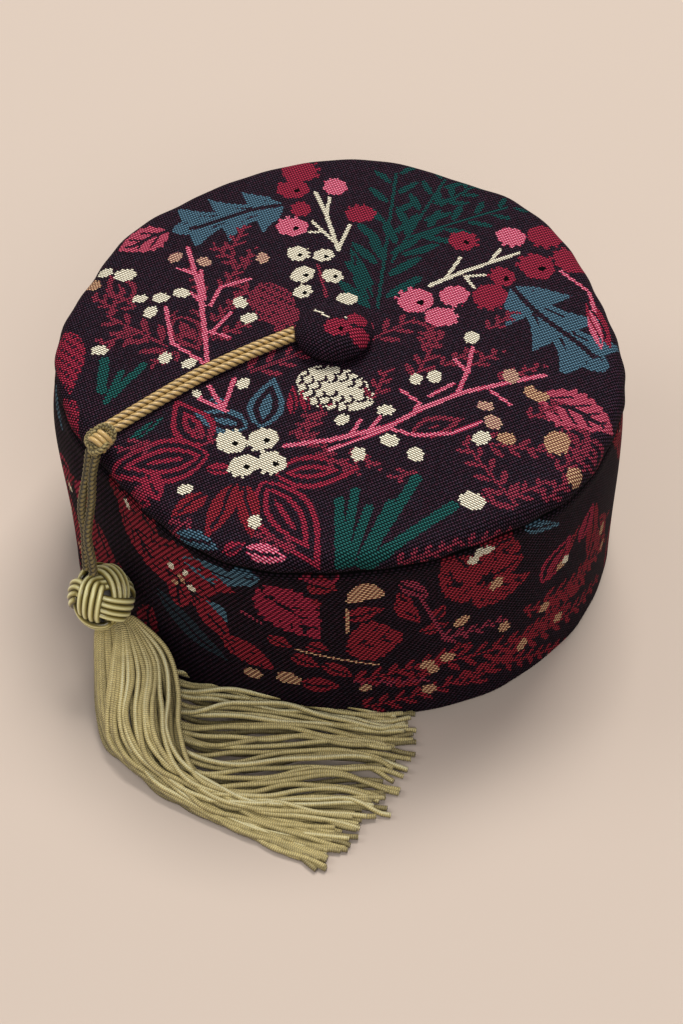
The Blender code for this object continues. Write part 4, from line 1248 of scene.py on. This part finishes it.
def skirt_core(line):
    """Points inside the tassel beside a strand, from which the strand's outer side faces away. The side
    towards them gets painted shade.
    """
    centre = ball_centre()
    outward = line - (centre.x + SKIRT_OFFSET[0], centre.y + SKIRT_OFFSET[1], 0)
    outward[:, 2] = 0
    fallen = np.clip((SKIRT_TOP - line[:, 2]) / SKIRT_FALL, 0, 1)[:, None]
    away = unit(unit(outward) * (1 - fallen) + np.array(UP) * fallen)
    return line - CORE_DEPTH * away


def make_skirt(material):
    """The tassel's strands: a front fold that sweeps down and out, and a back set from under it."""
    bundle = Strands()
    for lock in LOCKS:
        for layer, count in enumerate(lock.layers):
            depth = layer / (len(lock.layers) - 1)
            twist = lock.twist if layer == 0 else LOWER_TWIST * lock.twist
            for number in range(count):
                share = (number + 0.5 + rng.uniform(-SHARE_JITTER, SHARE_JITTER)) / count
                share = min(max(share, 0), 1)
                line = strand_line(lock.guides, share, depth, lock.drop, twist)
                # each strand has its own tone, and the deeper layers are darker as painted shade
                tone_and_painted_shade = rng.uniform(*STRAND_TONES) * (1 - DEEP_SHADE * depth)
                ribs_from = rng.uniform(0, 1)
                core = skirt_core(line)
                bundle.tube(line, STRAND_DIAMETER / 2, STRAND_SIDES, core, tone_and_painted_shade=tone_and_painted_shade, ribs_from=ribs_from)
    for share, stray in LOOSE_STRANDS:
        line = strand_line(BACK_GUIDES, share)
        shares = np.linspace(0, 1, len(line))
        bowed = np.sin(np.pi * np.clip(shares * 1.5 - 0.4, 0, 1))
        raised = np.sin(np.pi * np.clip(shares * 1.4 - 0.35, 0, 1))
        line[:, 1] += stray * bowed + stray * shares**3
        line[:, 2] += LOOSE_RISE * raised
        bundle.tube(line, STRAND_DIAMETER / 2, STRAND_SIDES, skirt_core(line))
    return bundle.piece("tassel_strands", material)


def cut_cells(limit_at, threads):
    """Cells along turned threads, out to a limit that may change with direction in degrees. Gives the
    points' places on the cloth and threads, the cells' corners and whether each shows its thread."""
    reach = limit_at(np.arange(360.0)).max()
    across, down = int(reach / threads.width) + 2, int(reach / threads.height) + 2
    i, j = grid_of(np.arange(-across, across + 1), np.arange(-down, down + 1))
    x, y = turned(i * threads.width, j * threads.height, -math.radians(threads.turn))
    limit, distance = limit_at(np.degrees(np.arctan2(y, x))), np.hypot(x, y)
    outside = distance > limit
    faces = grid_faces(2 * across + 1, 2 * down + 1)[:, ::-1]
    faces = faces[(~outside[faces]).any(axis=1)]
    shrink = np.where(outside, limit / np.maximum(distance, 1e-9), 1.0)
    first = faces.min(axis=1)
    on_top = thread_on_top(i[first], j[first])
    used, faces = np.unique(faces, return_inverse=True)
    uvs = np.stack([i[used], j[used]], axis=1)
    return (x * shrink)[used], (y * shrink)[used], uvs, faces.reshape(-1, 4), on_top


def make_crown(cloth, reverse):
    """The crown's cloth out to the seam, and its plain side inside the cap."""
    x, y, uvs, faces, on_top = cut_cells(crown_reach, CROWN_WEAVE)
    middle_x, middle_y = x[faces].mean(axis=1), y[faces].mean(axis=1)
    colours = woven_colours(middle_x / MM, middle_y / MM, on_top, CROWN_SPRIGS, CROWN_STEMS, CROWN_DISCS)
    to_seam = crown_reach(np.degrees(np.arctan2(middle_y, middle_x))) - np.hypot(middle_x, middle_y)
    colours = shaded(colours, CROWN_SHADE, to_seam)
    outer = mesh_piece("crown_cloth", crown_points(x, y), faces, cloth, uvs=uvs, colours=colours)
    share, turn, faces = wrapped_grid(0.01, 1, -180, CROWN_REVERSE_GRID)
    reach = crown_reach(turn) * share
    x, y = reach * np.cos(np.radians(turn)), reach * np.sin(np.radians(turn))
    inside = crown_points(x, y, inward=CLOTH)
    inside[share < 1, 2] -= REVERSE_DROP
    uvs = np.stack([x, y], axis=1) / MM
    inner = mesh_piece("crown_lining_side", inside, faces, reverse, uvs=uvs)
    inner.parent = outer
    return outer


def around_band():
    """The band's sprays: the front as it lies, and its sprays and discs again over the sides and back."""
    sprigs, discs = list(BAND_SPRIGS), list(BAND_DISCS)
    limit = math.pi * RIM_RADIUS / MM
    for shift in (-SPRAY_SHIFT, SPRAY_SHIFT):
        for found, into in ((BAND_SPRIGS, sprigs), (BAND_DISCS, discs)):
            for item in found:
                if FRONT_LIMIT < abs(item.x + shift) < limit:
                    into.append(item._replace(x=item.x + shift))
    return sprigs, BAND_STEMS, discs


def make_band(cloth, reverse):
    """The band's cloth from rim to seam, and its plain side inside, which starts in the rolled hem."""
    rows = round(SEAM_HEIGHT / BAND_WEAVE.height) + 1
    columns = round(2 * math.pi * RIM_RADIUS / BAND_WEAVE.width) + 1
    share, turn, faces = wrapped_grid(0, 1, -270, (rows, columns))
    j, i = grid_of(np.arange(rows), np.arange(columns))
    points = band_points(turn, share)
    first = faces.min(axis=1)
    on_top = thread_on_top(i[first], j[first])
    x = np.radians(turn[faces].mean(axis=1) + 90) * RIM_RADIUS / MM
    y = points[faces, 2].mean(axis=1) / MM
    # the band's ground takes the darker dye, as painted shade on its upright sides
    colours = woven_colours(x, y, on_top, *around_band(), ground="ground_in_painted_shade")
    colours = shaded(colours, BAND_SHADE, (1 - share[faces].mean(axis=1)) * SEAM_HEIGHT)
    outer = mesh_piece("band_cloth", points, faces, cloth, uvs=np.stack([i, j], axis=1), colours=colours)
    rows, columns = BAND_REVERSE_GRID
    share, turn = wrapped_grid(0, 1, -270, BAND_REVERSE_GRID)[:2]
    fold = band_points(turn[:columns], share[:columns], inset=HEM_ROUND)
    inside = np.concatenate([fold, band_points(turn, share, inset=CLOTH)])
    uvs = np.stack([turn, share * BAND_REVERSE_THREADS], axis=1)
    uvs = np.concatenate([uvs[:columns], uvs])
    faces = grid_faces(rows + 1, columns)[:, ::-1]
    inner = mesh_piece("band_reverse", inside, faces, reverse, uvs=uvs)
    inner.parent = outer
    return outer


def make_button(cloth):
    """The button's cloth: cells over its face and rolled edge."""
    breadths, heights = np.array(BUTTON_BREADTHS) * BUTTON_RADIUS, np.array(BUTTON_HEIGHTS) * BUTTON_HEIGHT
    run = run_along(np.stack([breadths, heights], axis=1))
    x, y, uvs, faces, on_top = cut_cells(lambda direction: np.full(len(direction), run[-1]), BUTTON_WEAVE)
    middle_x, middle_y = x[faces].mean(axis=1) / MM, y[faces].mean(axis=1) / MM
    colours = woven_colours(middle_x, middle_y, on_top, (), BUTTON_STEMS, BUTTON_DISCS)
    reach, direction = np.hypot(x, y), np.arctan2(y, x)
    edge = (reach[faces].mean(axis=1) / run[-1] - BUTTON_SHADE_FROM) / (1 - BUTTON_SHADE_FROM)
    colours = colours * (1 - BUTTON_SHADE * np.clip(edge, 0, 1))[:, None]
    out, up = np.interp(reach, run, breadths), np.interp(reach, run, heights)
    seat = np.array((*BUTTON_CENTRE, dome_height(*BUTTON_CENTRE) + GAP))
    points = seat + np.stack([out * np.cos(direction), out * np.sin(direction), up], axis=1)
    return mesh_piece("button_cloth", points, faces, cloth, uvs=uvs, colours=colours)


def make_cords(rope_finish, plait_finish):
    for letter, line in zip("ab", rope_lines()):
        rope = Strands()
        rope.twisted(line, ROPE_DIAMETER)
        piece = rope.piece(f"gold_rope_{letter}", rope_finish)
        keep(piece, "gold_satin_rope", f"top_cord_{letter}")
    for letter, line in zip("ab", plait_lines()):
        plait = Strands()
        plait.plaited(line, PLAIT_DIAMETER, PLAIT_PITCH, PLAIT_SIDES, PLAIT_FACING)
        piece = plait.piece(f"olive_cord_in_painted_shade_{letter}", plait_finish)
        keep(piece, "olive_cord", f"hanging_cord_{letter}")


def make_lights():
    for lamp in LAMPS:
        data = bpy.data.lights.new(lamp.name, "AREA")
        data.size = lamp.side
        data.energy = lamp.power
        data.color = lamp.colour
        made = bpy.data.objects.new(lamp.name, data)
        bpy.context.scene.collection.objects.link(made)
        made.location = lamp.place
        made.rotation_euler = (LIT_POINT - Vector(lamp.place)).to_track_quat("-Z", "Y").to_euler()
    world = bpy.data.worlds.new("room")
    world.use_nodes = True
    inputs = world.node_tree.nodes["Background"].inputs
    inputs["Color"].default_value = (*ROOM_COLOUR, 1)
    inputs["Strength"].default_value = ROOM_STRENGTH
    bpy.context.scene.world = world


def make_floor():
    finish = new_material("pale_surface", (0.62, 0.52, 0.44), 0.8, specular=0.2)
    corners = [(x * FLOOR_HALF, y * FLOOR_HALF, 0) for x, y in ((-1, -1), (1, -1), (1, 1), (-1, 1))]
    mesh_piece("floor", corners, np.array([[0, 1, 2, 3]]), finish)


make_camera()
weave = cloth_material()
back_of_cloth = reverse_material()
# each cord finish gives a shaded colour and a lit colour for its painted shade, and the satin and gimp also
# a painted highlight
gold = strand_material("gold_satin_rope", (0.026, 0.010, 0.003), (0.62, 0.41, 0.145), 0.36, 1.5, 0.6)
# the same olive cord as two finishes: darker for the hanging cords and the ball's core as painted shade,
# lighter in the edge knot on top as painted light
olive_cord_in_painted_shade = strand_material("olive_chain_cord_painted_shade", (0.007, 0.004, 0.001), (0.42, 0.31, 0.100), 0.45, 2.2)
olive_cord_in_painted_light = strand_material("olive_hitch_cord_painted_light", (0.014, 0.008, 0.002), (0.56, 0.43, 0.150), 0.45, 1.3)
satin = strand_material(
    "olive_satin_cord", (0.010, 0.007, 0.001), (0.37, 0.28, 0.040), 0.24, 3.4, painted_highlight=(1.0, 0.95, 0.50)
)
gimp_dark, gimp_light, gimp_painted_highlight = (0.030, 0.016, 0.003), (1.0, 0.82, 0.34), (1.0, 0.97, 0.64)
gimp = strand_material("olive_gimp_strand", gimp_dark, gimp_light, 0.38, 1.1, 0.6, gimp_painted_highlight, ribbed=True)

hitch = keep(make_edge_knot(gold, olive_cord_in_painted_light), "olive_cord", "edge_knot")
ball = keep(make_ball(satin), "olive_satin", "turks_head_knot")
keep(make_ball_core(olive_cord_in_painted_shade), "olive_satin")
make_cords(gold, olive_cord_in_painted_shade)
keep(make_skirt(gimp), "olive_gimp", "tassel_skirt")
keep(make_crown(weave, back_of_cloth), "jacquard_cloth", "crown_top")
keep(make_band(weave, back_of_cloth), "jacquard_cloth", "side_band")
keep(make_button(weave), "jacquard_cloth", "covered_button")
make_floor()
make_lights()
bpy.context.scene.view_settings.view_transform = "Standard"
